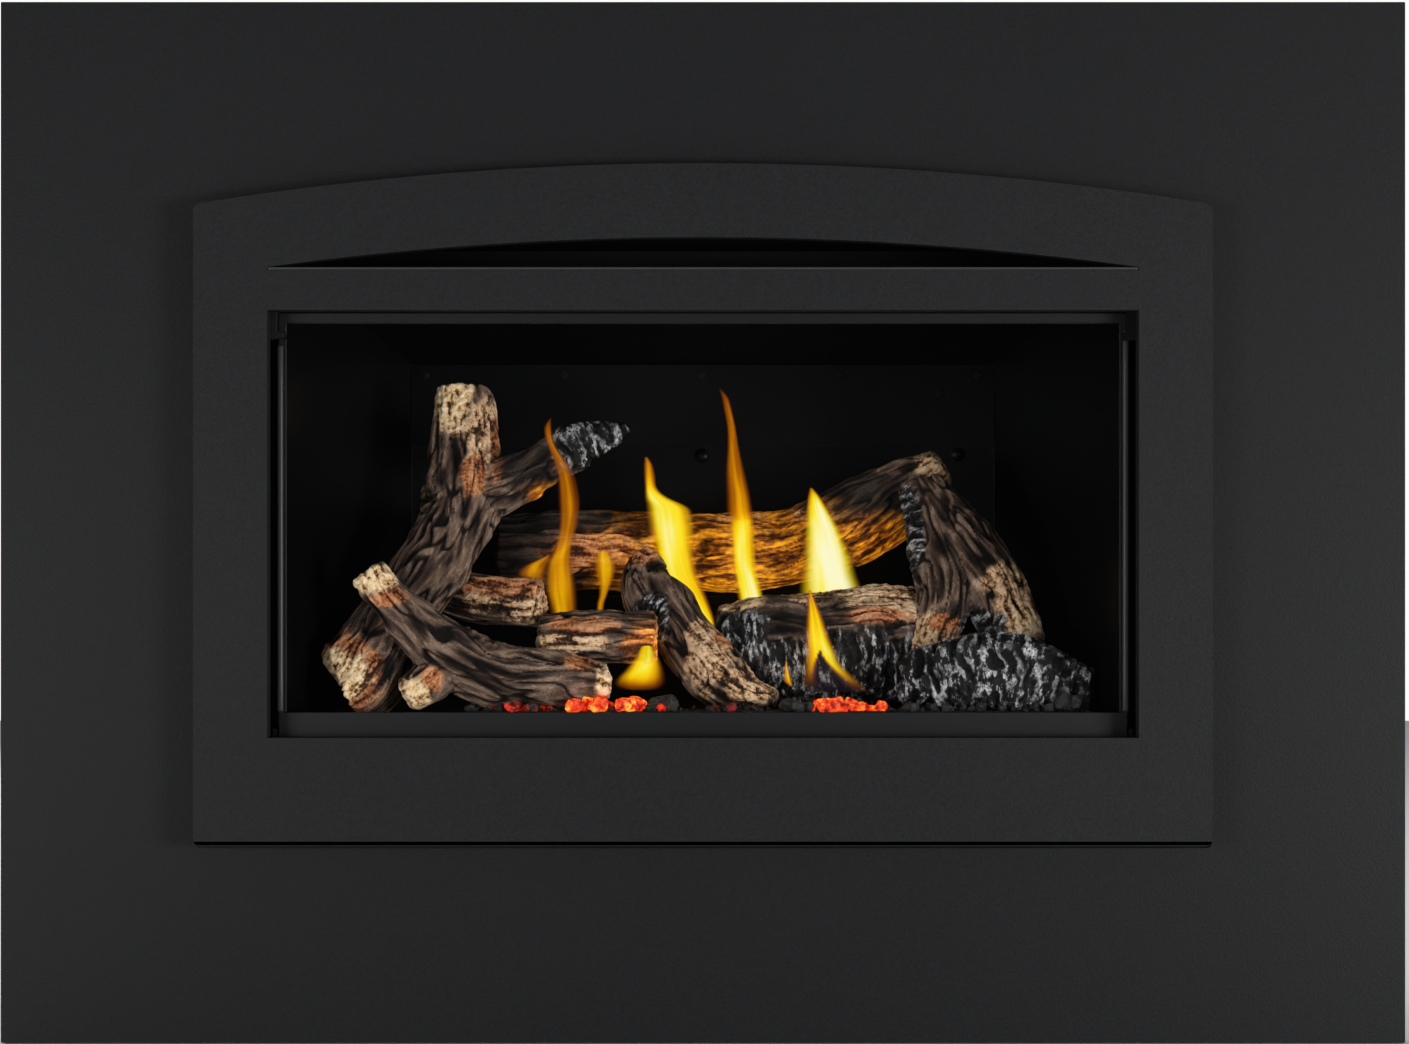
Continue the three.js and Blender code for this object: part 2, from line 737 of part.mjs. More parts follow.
function glassPane() {
  const half = doorHalfWidth - doorSheet - gap;
  const low = doorBottom + doorSheet + gap;
  const high = doorTop - doorSheet - gap;
  const y0 = doorFront + doorSheet + gap;
  return block(-half, half, y0, y0 + glassThickness, low, high);
}

function glassGasket() {
  const inner = doorHalfWidth - doorStile + gap;
  const outer = inner + gasketWidth;
  const innerLow = mouthBottom - gap;
  const innerHigh = doorTop - doorBead + gap;
  const ringShape = outline(
    rectangle(-outer, outer, innerLow - gasketWidth, innerHigh + gasketWidth),
    [rectangle(-inner, inner, innerLow, innerHigh)],
  );
  return facing(ringShape, doorBack + gap, doorBack + gap + gasketThickness);
}

const door = subassembly();
add('door_frame', doorFrame(), 'powderCoat', door);
add('glass_pane', glassPane(), 'glass', door);
add('glass_gasket', glassGasket(), 'rope', door);
add('firebox_face', fireboxFace(), 'blackSteel', firebox);

// ---- Latches

const latchAxisY = doorFront - latchOut - latchSheet + latchEyeRadius + 1;
const latchAxisZ = doorTop + latchPivotLift;

// A sheet arm with an eye at its top, and a pad at its foot that presses on the door's stile.
function latch({ lap, width, foot, notch }) {
  const inner = doorHalfWidth - lap;
  const outer = inner + width;
  const low = doorTop - foot;
  const front = doorFront - latchOut - latchSheet;
  const arm = facing(outline([
    [inner + notch / 2, low], [outer, low], [outer, latchAxisZ], [inner, latchAxisZ],
    [inner, low + notch], [inner + notch / 2, low + notch],
  ]), front, front + latchSheet);
  const eye = turned(disc(latchEyeRadius, 0, width), 16, 'x').translate([inner, latchAxisY, latchAxisZ]);
  const bore = turned(disc(latchPinRadius + runningGap / 2, -latchSheet, width + latchSheet), 12, 'x')
    .translate([inner, latchAxisY, latchAxisZ]);
  const padInner = doorHalfWidth - doorStile + gap;
  const padTop = low + 2 * latchSheet;
  const pad = block(padInner, doorHalfWidth - gap, front, doorFront - gap, low, padTop);
  const bridge = block(padInner, inner + width / 2, front, front + latchSheet, low, padTop);
  return cut(join(arm, eye, pad, bridge), bore);
}

// The bracket on the firebox's face: a foot, an ear and the pin that the latch turns on.
function latchBracket({ lap, width }) {
  const face = mouthPlane - gap;
  const outer = doorHalfWidth - lap - runningGap;
  const reach = 2 * latchPinRadius;
  const plate = facing(outline(
    rectangle(outer - 4 * earSheet, outer, latchAxisZ - 3 * reach, latchAxisZ)), face - casingSheet, face);
  const ear = rectangle(latchAxisY - reach, face, latchAxisZ - reach, latchAxisZ + reach);
  const side = sideways(outline(ear), outer - earSheet, outer);
  const pin = turned(disc(latchPinRadius, -earSheet, width + runningGap), 10, 'x')
    .translate([outer, latchAxisY, latchAxisZ]);
  return join(plate, side, pin);
}

add('latch_left', mirrored(latch(leftLatch)), 'blackSteel', subassembly());
add('latch_right', latch(rightLatch), 'blackSteel', subassembly());
add('latch_bracket_left', mirrored(latchBracket(leftLatch)), 'blackSteel', firebox);
add('latch_bracket_right', latchBracket(rightLatch), 'blackSteel', firebox);

// ---- Burner and pilot

// A folded pan, open below, with rows of gas ports in its deck.
function burnerPan() {
  const whole = lying(outline(taperedPlan(deckFront, deckRear, -deckMargin)), floorTop, deckHeight);
  const hollow = lying(
    outline(taperedPlan(deckFront + deckSheet, deckRear - deckSheet, -deckMargin - deckSheet)),
    floorTop - deckSheet, deckHeight - deckSheet);
  const ports = [];
  for (const row of [0, 1]) {
    const y = deckFront + portRowPitch * (row + 0.75);
    const count = 2 * Math.floor((halfWidthAt(y) - deckMargin - portPitch) / portPitch) + 1;
    for (let i = 0; i < count; i += 1) {
      const x = (i - (count - 1) / 2) * portPitch;
      ports.push(block(
        x - portLength / 2, x + portLength / 2, y, y + portWidth,
        deckHeight - 2 * deckSheet, deckHeight + deckSheet));
    }
  }
  return cut(whole, hollow, ...ports);
}

// Mixes gas and air: a bell mouth, a throat and a neck up through the firebox's floor.
function venturi() {
  const wall = venturiWall;
  const collar = fireboxFloorHeight - gap;
  const mouth = collar - 2 * venturiBell;
  const narrow = mouth + venturiBell;
  const wide = narrow + venturiNeck;
  const flange = venturiNeck + venturiNeck / 2;
  const top = deckHeight - 3 * deckSheet;
  return turned([
    [venturiBell, mouth], [venturiThroat + wall, narrow], [venturiNeck, wide], [venturiNeck, collar - wall],
    [flange, collar - wall], [flange, collar], [venturiNeck, collar],
    [venturiNeck, top], [venturiNeck - wall, top], [venturiNeck - wall, wide],
    [venturiThroat, narrow], [venturiBell - wall, mouth], [venturiBell, mouth],
  ], 20);
}

// A brass block on the base with an upright nozzle inside the venturi's bell.
function injector() {
  const half = injectorHalf;
  const high = baseTop + 2 * half;
  const body = block(-half, half, -half, half, baseTop, high);
  return join(body, turned(disc(nozzleRadius, high - half, high + 2 * half), 12));
}

const burner = subassembly();
add('burner_pan', burnerPan(), 'blackSteel', burner);
add('venturi_tube', venturi(), 'aluminium', burner, [venturiX, venturiY, 0]);
add('injector', injector(), 'brass', burner, [venturiX, venturiY, 0]);

// The pilot stands behind the right-hand logs: a bracket with a shelf that holds three stems.
const pilotStems = [
  { name: 'pilot_hood', x: -12, stem: 3, head: 6, tip: 18 },
  { name: 'igniter_rod', x: 0, stem: 2.4, head: 3.6, tip: 24 },
  { name: 'flame_sensor', x: 12, stem: 3, head: 4.4, tip: 22 },
];
const shelfTop = deckSeat + pilotShelf;

function pilotBracket() {
  const half = pilotWidth / 2;
  const depth = pilotShelfDepth;
  const section = [
    [-pilotSheet, deckSeat], [depth, deckSeat], [depth, deckSeat + pilotSheet],
    [0, deckSeat + pilotSheet], [0, shelfTop], [-depth, shelfTop],
    [-depth, shelfTop - pilotSheet], [-pilotSheet, shelfTop - pilotSheet],
  ];
  const holes = pilotStems.map(({ x, stem }) => turned(
    disc(stem + gap, shelfTop - depth / 4, shelfTop + depth / 4), 12).translate([x, -depth / 2, 0]));
  return cut(sideways(outline(section), -half, half), ...holes);
}

function pilotStem({ stem, head, tip }) {
  const low = shelfTop - pilotShelf / 2;
  const seat = shelfTop + gap;
  const rim = seat + stem;
  const neck = stem * 0.7;
  return turned([
    [0, low], [stem, low], [stem, seat], [head, seat], [head, rim],
    [neck, rim + neck], [neck, seat + tip], [0, seat + tip],
  ], 12);
}

const pilot = subassembly();
pilot.position.set(pilotX * unit, deckFront + pilotSetback * unit, 0);
add('pilot_bracket', pilotBracket(), 'blackSteel', pilot);
for (const stem of pilotStems) {
  const finish = stem.name === 'pilot_hood' ? 'brass' : 'ceramic';
  add(stem.name, pilotStem(stem), finish, pilot, [stem.x, -pilotShelfDepth / 2, 0]);
}

// The bent strip that carries the rear log.
const restSide = restHalfWidth * unit;
const restTop = deckSeat + restHeight * unit;
const restY = deckFront + restSetback * unit;

function logRest() {
  const bar = restBar;
  const side = restSide;
  const foot = side + restFoot;
  const shape = outline([
    [-foot, deckSeat], [bar - side, deckSeat], [bar - side, restTop - bar], [side - bar, restTop - bar],
    [side - bar, deckSeat], [foot, deckSeat], [foot, deckSeat + bar / 2],
    [side, deckSeat + bar / 2], [side, restTop], [-side, restTop], [-side, deckSeat + bar / 2],
    [-foot, deckSeat + bar / 2],
  ]);
  return facing(shape, restY - restWidth / 2, restY + restWidth / 2);
}

add('log_rest', logRest(), 'blackSteel', burner);

// ---- Gas train and controls

const panelFront = casingFront + panelSetback;
const panelBack = panelFront + panelSheet;
const controlX = { gas: panelCentre - controlPitch, flame: panelCentre, igniter: panelCentre + controlPitch };

// An upright sheet with a foot, and a hole for each control's stem.
function controlPanel() {
  const high = fireboxFloorHeight - panelHeadroom;
  const section = [
    [panelFront, baseTop], [panelBack + panelFoot, baseTop],
    [panelBack + panelFoot, baseTop + panelSheet], [panelBack, baseTop + panelSheet],
    [panelBack, high], [panelFront, high],
  ];
  const sheet = sideways(
    outline(section), panelCentre - panelWidth / 2, panelCentre + panelWidth / 2);
  const hole = turned(disc(stemRadius + runningGap / 2, -2 * panelSheet, panelSheet), 16, 'y');
  return cut(sheet, ...Object.values(controlX).map((x) => hole.translate([x, panelFront, controlHeight])));
}

// A valve body with a sloping shoulder, the regulator's tower on top.
function gasValve() {
  const half = valveWidth / 2;
  const low = controlHeight - valveHeight / 2;
  const high = low + valveHeight;
  const slope = valveShoulder;
  const front = panelBack + gap;
  const middle = panelCentre + valveOffset;
  const towerTop = fireboxFloorHeight - towerHeadroom;
  const body = facing(outline([
    [middle - half, low], [middle + half, low], [middle + half, high - slope],
    [middle + half - slope, high], [middle - half + slope, high], [middle - half, high - slope],
  ]), front, front + valveDepth);
  const tower = turned(disc(towerRadius, controlHeight, towerTop), 16)
    .translate([middle, front + valveDepth / 2, 0]);
  const boss = turned(disc(2 * pipeRadius, -outletBoss, outletBoss), 16, 'y')
    .translate([middle, front + valveDepth, controlHeight]);
  return join(body, tower, boss);
}

// A knob with finger flutes round its grip and a stem to the rear.
function knob(radius, length, stemReach) {
  const skirt = length * 0.22;
  const grip = turned([
    [0, 0], [radius, 0], [radius, skirt], [radius * 0.84, skirt + 1],
    [radius * 0.78, length - 1.5], [radius * 0.7, length], [0, length],
  ], 24, 'y');
  const flutes = [];
  const count = 10;
  for (let i = 0; i < count; i += 1) {
    const angle = (i / count) * 2 * Math.PI;
    flutes.push(turned(disc(radius * 0.12, skirt + 1.5, length + 1), 6, 'y').translate([
      radius * 0.84 * Math.cos(angle), 0, radius * 0.84 * Math.sin(angle)]));
  }
  const stem = turned(disc(stemRadius, -stemReach, 1), 16, 'y');
  return join(cut(grip, ...flutes), stem);
}

// The igniter button: a crowned cap on a stem. It stands its travel clear of the panel.
function igniterButton() {
  const cap = buttonTravel + gap;
  const end = -2 * panelSheet;
  const rim = cap + buttonRadius * 0.4;
  const crown = cap + buttonRadius * 0.55;
  return turned([
    [0, end], [stemRadius, end], [stemRadius, cap], [buttonRadius, cap],
    [buttonRadius, rim], [buttonRadius * 0.7, crown], [0, cap + buttonRadius * 0.6],
  ], 20, 'y');
}

function igniterBody() {
  const bore = stemRadius + runningGap / 2;
  const back = -gap - igniterLength;
  const deep = -3 * buttonTravel;
  return turned([
    [0, back], [igniterRadius, back], [igniterRadius, -gap], [bore, -gap], [bore, deep], [0, deep],
  ], 16, 'y');
}

// The supply pipe with its nut outside the casing, bent forward to the valve's left side.
function gasInlet() {
  const nutStart = -casingWidth / 2 - runningGap;
  const end = panelCentre + valveOffset - valveWidth / 2 - gap;
  const valveY = panelBack + gap + valveDepth / 2;
  const run = pipe([
    [nutStart - nutLength, inletY, inletHeight], [nutStart + nutLength, inletY, inletHeight],
    [end - 2 * pipeBend, inletY, inletHeight], [end - pipeBend, valveY, controlHeight],
    [end, valveY, controlHeight],
  ], pipeRadius, 8, 16);
  const nut = turned(disc(nutRadius, -nutLength, 0), 6, 'x').translate([nutStart, inletY, inletHeight]);
  return join(run, nut);
}

// The pipe from the valve's outlet, back and across to the injector.
function manifoldPipe() {
  const middle = panelCentre + valveOffset;
  const start = panelBack + gap + valveDepth + outletBoss + gap;
  const end = venturiX - injectorHalf - gap;
  const height = baseTop + injectorHalf;
  const fall = controlHeight - height;
  return pipe([
    [middle, start, controlHeight], [middle, start + pipeBend / 3, controlHeight],
    [middle + 1, start + pipeBend * 2 / 3, controlHeight - 1],
    [middle + pipeBend, start + pipeBend * 3 / 2, height + fall / 3],
    [end - 2 * pipeBend, venturiY - pipeRadius, height],
    [end - pipeBend * 2 / 3, venturiY, height], [end, venturiY, height],
  ], pipeRadius * 0.8, 8, 18);
}

const controls = subassembly();
add('control_panel', controlPanel(), 'galvanised', controls);
add('gas_valve', gasValve(), 'aluminium', controls);
add('igniter_body', igniterBody(), 'plastic', controls, [controlX.igniter, panelBack, controlHeight]);
add('gas_inlet', gasInlet(), 'brass', controls);
add('manifold_pipe', manifoldPipe(), 'aluminium', controls);

const knobPlane = panelFront - gap;
const stemReach = panelSheet + gap;
const mainKnob = () => knob(knobRadius, knobLength, stemReach);
add('gas_knob', mainKnob(), 'plastic', subassembly(), [controlX.gas, knobPlane, controlHeight]);
add('flame_knob', mainKnob(), 'plastic', subassembly(), [controlX.flame, knobPlane, controlHeight]);
add('igniter_button', igniterButton(), 'plastic', subassembly(),
  [controlX.igniter, panelFront, controlHeight]);

// ---- Switch box

const rockerX = switchBoxCentre - rockerOffset;
const fanX = switchBoxCentre + rockerOffset;

function switchBox() {
  const half = switchBoxWidth / 2;
  const body = block(
    switchBoxCentre - half, switchBoxCentre + half,
    panelFront, panelFront + switchBoxDepth, baseTop, baseTop + switchBoxHeight);
  const side = rockerWidth / 2 + 2 * gap;
  const tall = rockerHalfHeight + rockerRoom;
  const opening = block(
    rockerX - side, rockerX + side, panelFront - 1, panelFront + rockerHalfHeight + 2,
    controlHeight - tall, controlHeight + tall);
  const reach = rockerWidth / 2 + 2 * axleRadius;
  const socket = turned(disc(axleRadius + runningGap / 2, -reach, reach), 12, 'x')
    .translate([rockerX, panelFront + rockerPivot, controlHeight]);
  const bore = turned(disc(stemRadius + runningGap / 2, -fanStem - 2, 1), 16, 'y')
    .translate([fanX, panelFront, controlHeight]);
  return cut(body, opening, socket, bore);
}

// A rocker with a shallow V face, drawn level about its pivot and laid at its rest tilt.
function rocker() {
  const tip = rockerHalfHeight - 2 * gap;
  const proud = rockerHalfHeight * 0.7;
  const shape = new THREE.Shape();
  const start = Math.atan2(tip, 1);
  shape.moveTo(-proud, -tip + gap);
  shape.lineTo(1, -tip);
  shape.absarc(0, 0, Math.hypot(1, tip), -start, start, false);
  shape.lineTo(-proud, tip - gap);
  shape.lineTo(-proud * 0.7, 0);
  shape.closePath();
  const body = sideways(shape, -rockerWidth / 2, rockerWidth / 2);
  const reach = rockerWidth / 2 + axleRadius;
  return join(body, turned(disc(axleRadius, -reach, reach), 10, 'x'));
}

add('switch_box', switchBox(), 'galvanised', controls);
const rockerGroup = subassembly();
rockerGroup.position.set(rockerX, panelFront + rockerPivot, controlHeight);
rockerGroup.rotation.x = THREE.MathUtils.degToRad(-rockerTilt);
add('burner_switch', rocker(), 'plastic', rockerGroup);
add('fan_knob', knob(fanKnobRadius, fanKnobLength, fanStem), 'plastic', subassembly(),
  [fanX, knobPlane, controlHeight]);

// ---- Blower

const wheelY = casingRear - wheelSetback;
const wheelHalf = wheelLength / 2;
const cheekInner = wheelHalf + 2 * runningGap;
const cheekOuter = cheekInner + blowerSheet;

// A drum of curved blades between two discs, on a shaft that runs into the motor.
function blowerWheel() {
  const disks = [-wheelHalf, wheelHalf - wheelDisc].map(
    (low) => turned(disc(wheelRadius, low, low + wheelDisc), wheelBlades, 'x'));
  const shaft = turned(disc(wheelHubRadius, -wheelHalf - shaftReach / 2, wheelHalf + shaftReach), 16, 'x');
  const tip = wheelRadius - gap;
  const root = wheelRadius - bladeDepth;
  const middle = wheelRadius - bladeDepth / 2;
  const sweep = bladeDepth * 0.4;
  const blade = new THREE.Shape();
  blade.moveTo(root, 0);
  blade.quadraticCurveTo(middle, sweep * 1.1, tip, sweep);
  blade.lineTo(tip, sweep * 0.55);
  blade.quadraticCurveTo(middle, sweep * 0.65, root, -sweep * 0.45);
  blade.closePath();
  const straight = sideways(blade, wheelDisc / 2 - wheelHalf, wheelHalf - wheelDisc / 2, 2);
  const blades = [];
  for (let i = 0; i < wheelBlades; i += 1) {
    blades.push(straight.rotate([(i / wheelBlades) * 360, 0, 0]));
  }
  return join(...disks, shaft, ...blades);
}

// A scroll of sheet behind and under the wheel, a tongue in front, and a cheek at each end.
function blowerHousing() {
  const inner = wheelRadius + scrollRoom;
  const outer = inner + blowerSheet;
  const high = fireboxFloorHeight - gap - wheelAxisHeight;
  const side = cheekInner + blowerSheet / 2;
  const scroll = new THREE.Shape();
  const bottom = Math.PI * 1.35;
  scroll.moveTo(inner, high);
  scroll.absarc(0, 0, inner, 0, bottom - 2 * Math.PI, true);
  scroll.absarc(0, 0, outer, bottom - 2 * Math.PI, 0, false);
  scroll.lineTo(outer, high);
  scroll.closePath();
  const back = sideways(scroll, -side, side);
  const tongue = block(-side, side, -outer, -inner, wheelRadius / 2, high);
  const seat = baseTop - wheelAxisHeight;
  const bore = turned(disc(wheelHubRadius + runningGap / 2, -blowerSheet, 2 * blowerSheet), 16, 'x');
  const cheek = cut(block(0, blowerSheet, -outer, outer, seat, high), bore);
  return join(back, tongue, cheek.translate([cheekInner, 0, 0]), cheek.translate([-cheekOuter, 0, 0]));
}

// The motor hangs on the right-hand cheek. Its bore takes the wheel's shaft.
function blowerMotor() {
  const bore = wheelHubRadius + runningGap / 2;
  const start = gap;
  const end = start + motorLength;
  const deep = shaftReach + runningGap;
  return turned([
    [0, deep], [bore, deep], [bore, start], [motorRadius, start], [motorRadius, end - motorBevel],
    [motorRadius - motorBevel, end], [0, end],
  ], 20, 'x');
}

const blower = subassembly();
add('blower_housing', blowerHousing(), 'galvanised', blower, [wheelX, wheelY, wheelAxisHeight]);
add('blower_motor', blowerMotor(), 'blackSteel', blower, [wheelX + cheekOuter, wheelY, wheelAxisHeight]);
add('blower_wheel', blowerWheel(), 'aluminium', subassembly(), [wheelX, wheelY, wheelAxisHeight]);

// ---- Ceramic logs and ember bed

const limbSides = 11;
const limbStep = 24;              // spacing of the rings along a limb

// The bark's swells at an angle round a limb and a distance along it, as a share of the radius.
function swell(angle, distance, seed) {
  return 1 + 0.07 * Math.sin(3 * angle + seed + distance * 0.013)
    + 0.05 * Math.sin(5 * angle - 2 * seed + distance * 0.031)
    + 0.04 * Math.sin(distance * 0.07 + seed);
}

// A table's point or radius in millimetres.
const logPoint = ([x, y, z]) => new THREE.Vector3(x * unit, deckFront + y * unit, deckSeat + z * unit);
const logRadius = (point) => new THREE.Vector3(point[3] * unit, 0, 0);

// One limb: rings of [x, y, z, radius] lofted along a smooth curve, closed by a fan at each end.
// tall stretches its upright radius, grow adds to every radius.
function limb(points, seed, tall, grow) {
  const path = new THREE.CatmullRomCurve3(points.map(logPoint));
  const radii = new THREE.CatmullRomCurve3(points.map(logRadius));
  const length = path.getLength();
  const steps = Math.max(3, Math.round(length / limbStep));
  const positions = [];
  const across = new THREE.Vector3(0, 1, 0);
  for (let i = 0; i <= steps; i += 1) {
    const centre = path.getPoint(i / steps);
    const along = path.getTangent(i / steps);
    const side = along.clone().cross(across).normalize();
    const front = side.clone().cross(along).normalize();
    const overhang = i === 0 ? -grow : grow * (i === steps);
    centre.addScaledVector(along, overhang);
    const radius = radii.getPoint(i / steps).x;
    for (let k = 0; k < limbSides; k += 1) {
      const angle = (k / limbSides) * 2 * Math.PI;
      const reach = radius * swell(angle, (i / steps) * length, seed) + grow;
      const point = centre.clone()
        .addScaledVector(side, reach * tall * Math.cos(angle))
        .addScaledVector(front, reach * Math.sin(angle));
      positions.push(point.x, point.y, point.z);
    }
  }
  const ends = [path.getPoint(0), path.getPoint(1)];
  ends[0].addScaledVector(path.getTangent(0), -grow);
  ends[1].addScaledVector(path.getTangent(1), grow);
  ends.forEach((end) => positions.push(end.x, end.y, end.z));
  const first = (steps + 1) * limbSides;
  const faces = [];
  for (let k = 0; k < limbSides; k += 1) {
    const next = (k + 1) % limbSides;
    for (let i = 0; i < steps; i += 1) {
      const low = i * limbSides;
      const high = low + limbSides;
      faces.push(low + k, high + next, low + next, low + k, high + k, high + next);
    }
    faces.push(first, k, next);
    faces.push(first + 1, steps * limbSides + next, steps * limbSides + k);
  }
  const geometry = new THREE.BufferGeometry();
  geometry.setAttribute('position', new THREE.Float32BufferAttribute(positions, 3));
  geometry.setIndex(faces);
  return toSolid(geometry);
}

// The log set, from the pieces on the deck to those laid over them. Each limb's points are
// centres and radii, chosen by eye. The rear log's heights count from the log rest's top.
const logs = [
  { name: 'log_left_tall', seed: 1, limbs: [
    [[-263, 34, 20, 30], [-254, 36, 29, 33], [-232, 60, 71, 27], [-204, 94, 115, 27],
      [-189, 116, 154, 29], [-188, 132, 198, 27], [-190, 147, 246, 22]],
    [[-192, 116, 158, 22], [-152, 122, 174, 21], [-121, 127, 192, 16], [-100, 130, 204, 18],
      [-70, 134, 215, 9], [-61, 135, 220, 6]],
  ] },
  { name: 'log_right_base', seed: 2, limbs: [
    [[149, 46, 22, 18], [194, 38, 27, 29], [239, 34, 28, 29], [288, 30, 19, 15]],
  ] },
  { name: 'log_front_fork', seed: 3, limbs: [
    [[-247, 14, 104, 13], [-220, 12, 74, 16], [-190, 15, 48, 21], [-150, 24, 29, 25],
      [-107, 32, 23, 23], [-74, 40, 19, 18]],
    [[-184, 16, 39, 17], [-207, 10, 21, 15], [-218, 8, 14, 13]],
  ] },
  { name: 'log_centre', seed: 4, limbs: [
    [[-47, 140, 119, 10], [-41, 122, 92, 22], [-17, 92, 61, 23], [8, 62, 31, 23],
      [29, 42, 15, 16], [52, 32, 9, 8]],
  ] },
  { name: 'log_right_front', seed: 5, tall: 1.25, limbs: [
    [[15, 102, 39, 32], [68, 102, 42, 36], [114, 102, 45, 35], [167, 106, 48, 32]],
  ] },
  { name: 'log_rear', seed: 6, seat: restHeight, limbs: [
    [[-162, 176, 34, 30], [-82, 176, 35, 32], [-2, 176, 34, 32], [62, 176, 37, 30],
      [119, 174, 58, 30], [162, 170, 86, 26], [190, 164, 103, 16]],
  ] },
  { name: 'log_left_front', seed: 7, limbs: [
    [[-123, 72, 53, 19], [-78, 72, 54, 21], [-38, 74, 54, 19]],
  ] },
  { name: 'log_left_stub', seed: 8, limbs: [
    [[-204, 110, 93, 17], [-172, 98, 85, 19], [-126, 82, 82, 17]],
  ] },
  { name: 'log_right_crossed', seed: 9, limbs: [
    [[166, 138, 175, 13], [182, 122, 131, 22], [188, 102, 92, 22], [175, 72, 45, 16]],
    [[174, 140, 172, 16], [205, 118, 123, 27], [226, 96, 88, 26], [244, 68, 45, 18]],
  ] },
];

// A log with every radius grown by a margin, standing on the deck and clear of the liners.
function logSolid({ limbs, seed, tall = 1, seat = 0 }, grow) {
  const seated = limbs.map((points) => points.map(([x, y, z, radius]) => [x, y, z + seat, radius]));
  const whole = join(...seated.map((points, i) => limb(points, seed + i * 0.7, tall, grow)));
  const plan = taperedPlan(fireboxFront, fireboxBack - linerStep, grow - runningGap);
  return whole.intersect(lying(outline(plan), deckSeat - grow, fireboxTop));
}

// What a notch cuts off is dropped: a log keeps its largest body.
function largestBody(solid) {
  return solid.decompose().reduce((best, next) => (next.volume() > best.volume() ? next : best));
}

// Each log is notched to sit on those before it, and on the rest behind them.
function notchedLogs() {
  const clearances = [fireboxBar()];
  return logs.map((log) => {
    const solid = largestBody(cut(logSolid(log, 0), ...clearances));
    clearances.push(logSolid(log, gap * 1.2));
    return { name: log.name, solid };
  });
}

// The space that the log rest takes up, with its clearance.
function fireboxBar() {
  const side = restSide + gap;
  const half = restWidth / 2 + gap;
  return block(-side, side, restY - half, restY + half, deckSeat, restTop + gap);
}

// Coals on the bed: place along it, place behind the deck's front edge, lift and radius.
const coals = [
  [277, 14, 5, 11], [-30, 13, 5, 10], [72, 16, 5.5, 8], [-128, 17, 3.5, 9], [-62, 16, 3.5, 9],
  [-84, 20, 3.5, 8], [98, 16, 3.5, 9], [124, 17, 3.5, 9],
];
const bedEnds = [-178, 286];

// Coals and grit along the front of the deck: a low rippled ridge with rounded lumps in it.
function emberBed(occupied) {
  const [left, right] = bedEnds.map((x) => x * unit);
  const front = deckFront + plateSheet;
  const back = front + bedDepth;
  const columns = 44;
  const profile = [[left, deckSeat]];
  for (let i = 0; i <= columns; i += 1) {
    const ripple = 0.5 * Math.sin(i * 1.7) * Math.cos(i * 0.6);
    profile.push([left + ((right - left) * i) / columns, deckSeat + bedHeight * (1 + ripple)]);
  }
  profile.push([right, deckSeat]);
  const bed = facing(outline(profile.reverse()), front, back);
  const lumps = coals.map(([x, y, lift, radius], i) => {
    const geometry = new THREE.SphereGeometry(radius * unit, 8, 5);
    geometry.scale(1.25, 0.9, 0.85);
    geometry.rotateZ(i * 1.3);
    geometry.translate(x * unit, deckFront + y * unit, deckSeat + lift * unit);
    return toSolid(geometry);
  });
  const under = block(2 * left, 2 * right, front - bedDepth, back + bedDepth, 0, deckSeat);
  return largestBody(cut(join(bed, ...lumps), under, ...occupied));
}

const logSet = subassembly();
for (const { name, solid } of notchedLogs()) add(name, solid, 'bark', logSet);
add('ember_bed', emberBed(logs.map((log) => logSolid(log, gap * 1.2))), 'ember', logSet);

export default insert;
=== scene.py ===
"""The looks of the gas fireplace insert: finishes, ceramic logs, embers, flames and small fasteners.

Metres, +X the viewer's right, +Y into the wall, +Z up. The origin is the centre of the casing's underside.
"""
import json
import math

import bmesh
import bpy
import numpy as np
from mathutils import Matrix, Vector


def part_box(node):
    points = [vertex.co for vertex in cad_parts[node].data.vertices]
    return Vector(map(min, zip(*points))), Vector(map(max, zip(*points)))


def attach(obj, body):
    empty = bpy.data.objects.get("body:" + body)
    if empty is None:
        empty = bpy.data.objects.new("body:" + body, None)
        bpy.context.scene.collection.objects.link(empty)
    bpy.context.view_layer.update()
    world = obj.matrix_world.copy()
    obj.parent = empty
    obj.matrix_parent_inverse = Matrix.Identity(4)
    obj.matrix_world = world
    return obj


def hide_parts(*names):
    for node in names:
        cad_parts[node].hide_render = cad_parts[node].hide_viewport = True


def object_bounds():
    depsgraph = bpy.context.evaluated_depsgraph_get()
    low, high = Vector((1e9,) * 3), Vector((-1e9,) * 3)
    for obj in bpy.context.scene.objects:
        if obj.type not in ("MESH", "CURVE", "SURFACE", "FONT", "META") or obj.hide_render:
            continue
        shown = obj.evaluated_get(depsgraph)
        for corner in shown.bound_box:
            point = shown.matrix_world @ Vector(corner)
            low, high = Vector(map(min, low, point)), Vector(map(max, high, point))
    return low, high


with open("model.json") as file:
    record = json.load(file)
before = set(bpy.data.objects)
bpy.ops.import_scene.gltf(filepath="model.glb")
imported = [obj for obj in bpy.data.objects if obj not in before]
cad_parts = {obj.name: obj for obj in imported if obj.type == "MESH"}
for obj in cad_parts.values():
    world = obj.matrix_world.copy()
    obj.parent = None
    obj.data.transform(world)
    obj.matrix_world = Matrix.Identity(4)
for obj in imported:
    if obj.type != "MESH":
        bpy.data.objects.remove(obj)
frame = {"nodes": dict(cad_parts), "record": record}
cad_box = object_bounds()

MM = 0.001
SEED = 11

# ---------------------------------------------------------------- places read from the frame

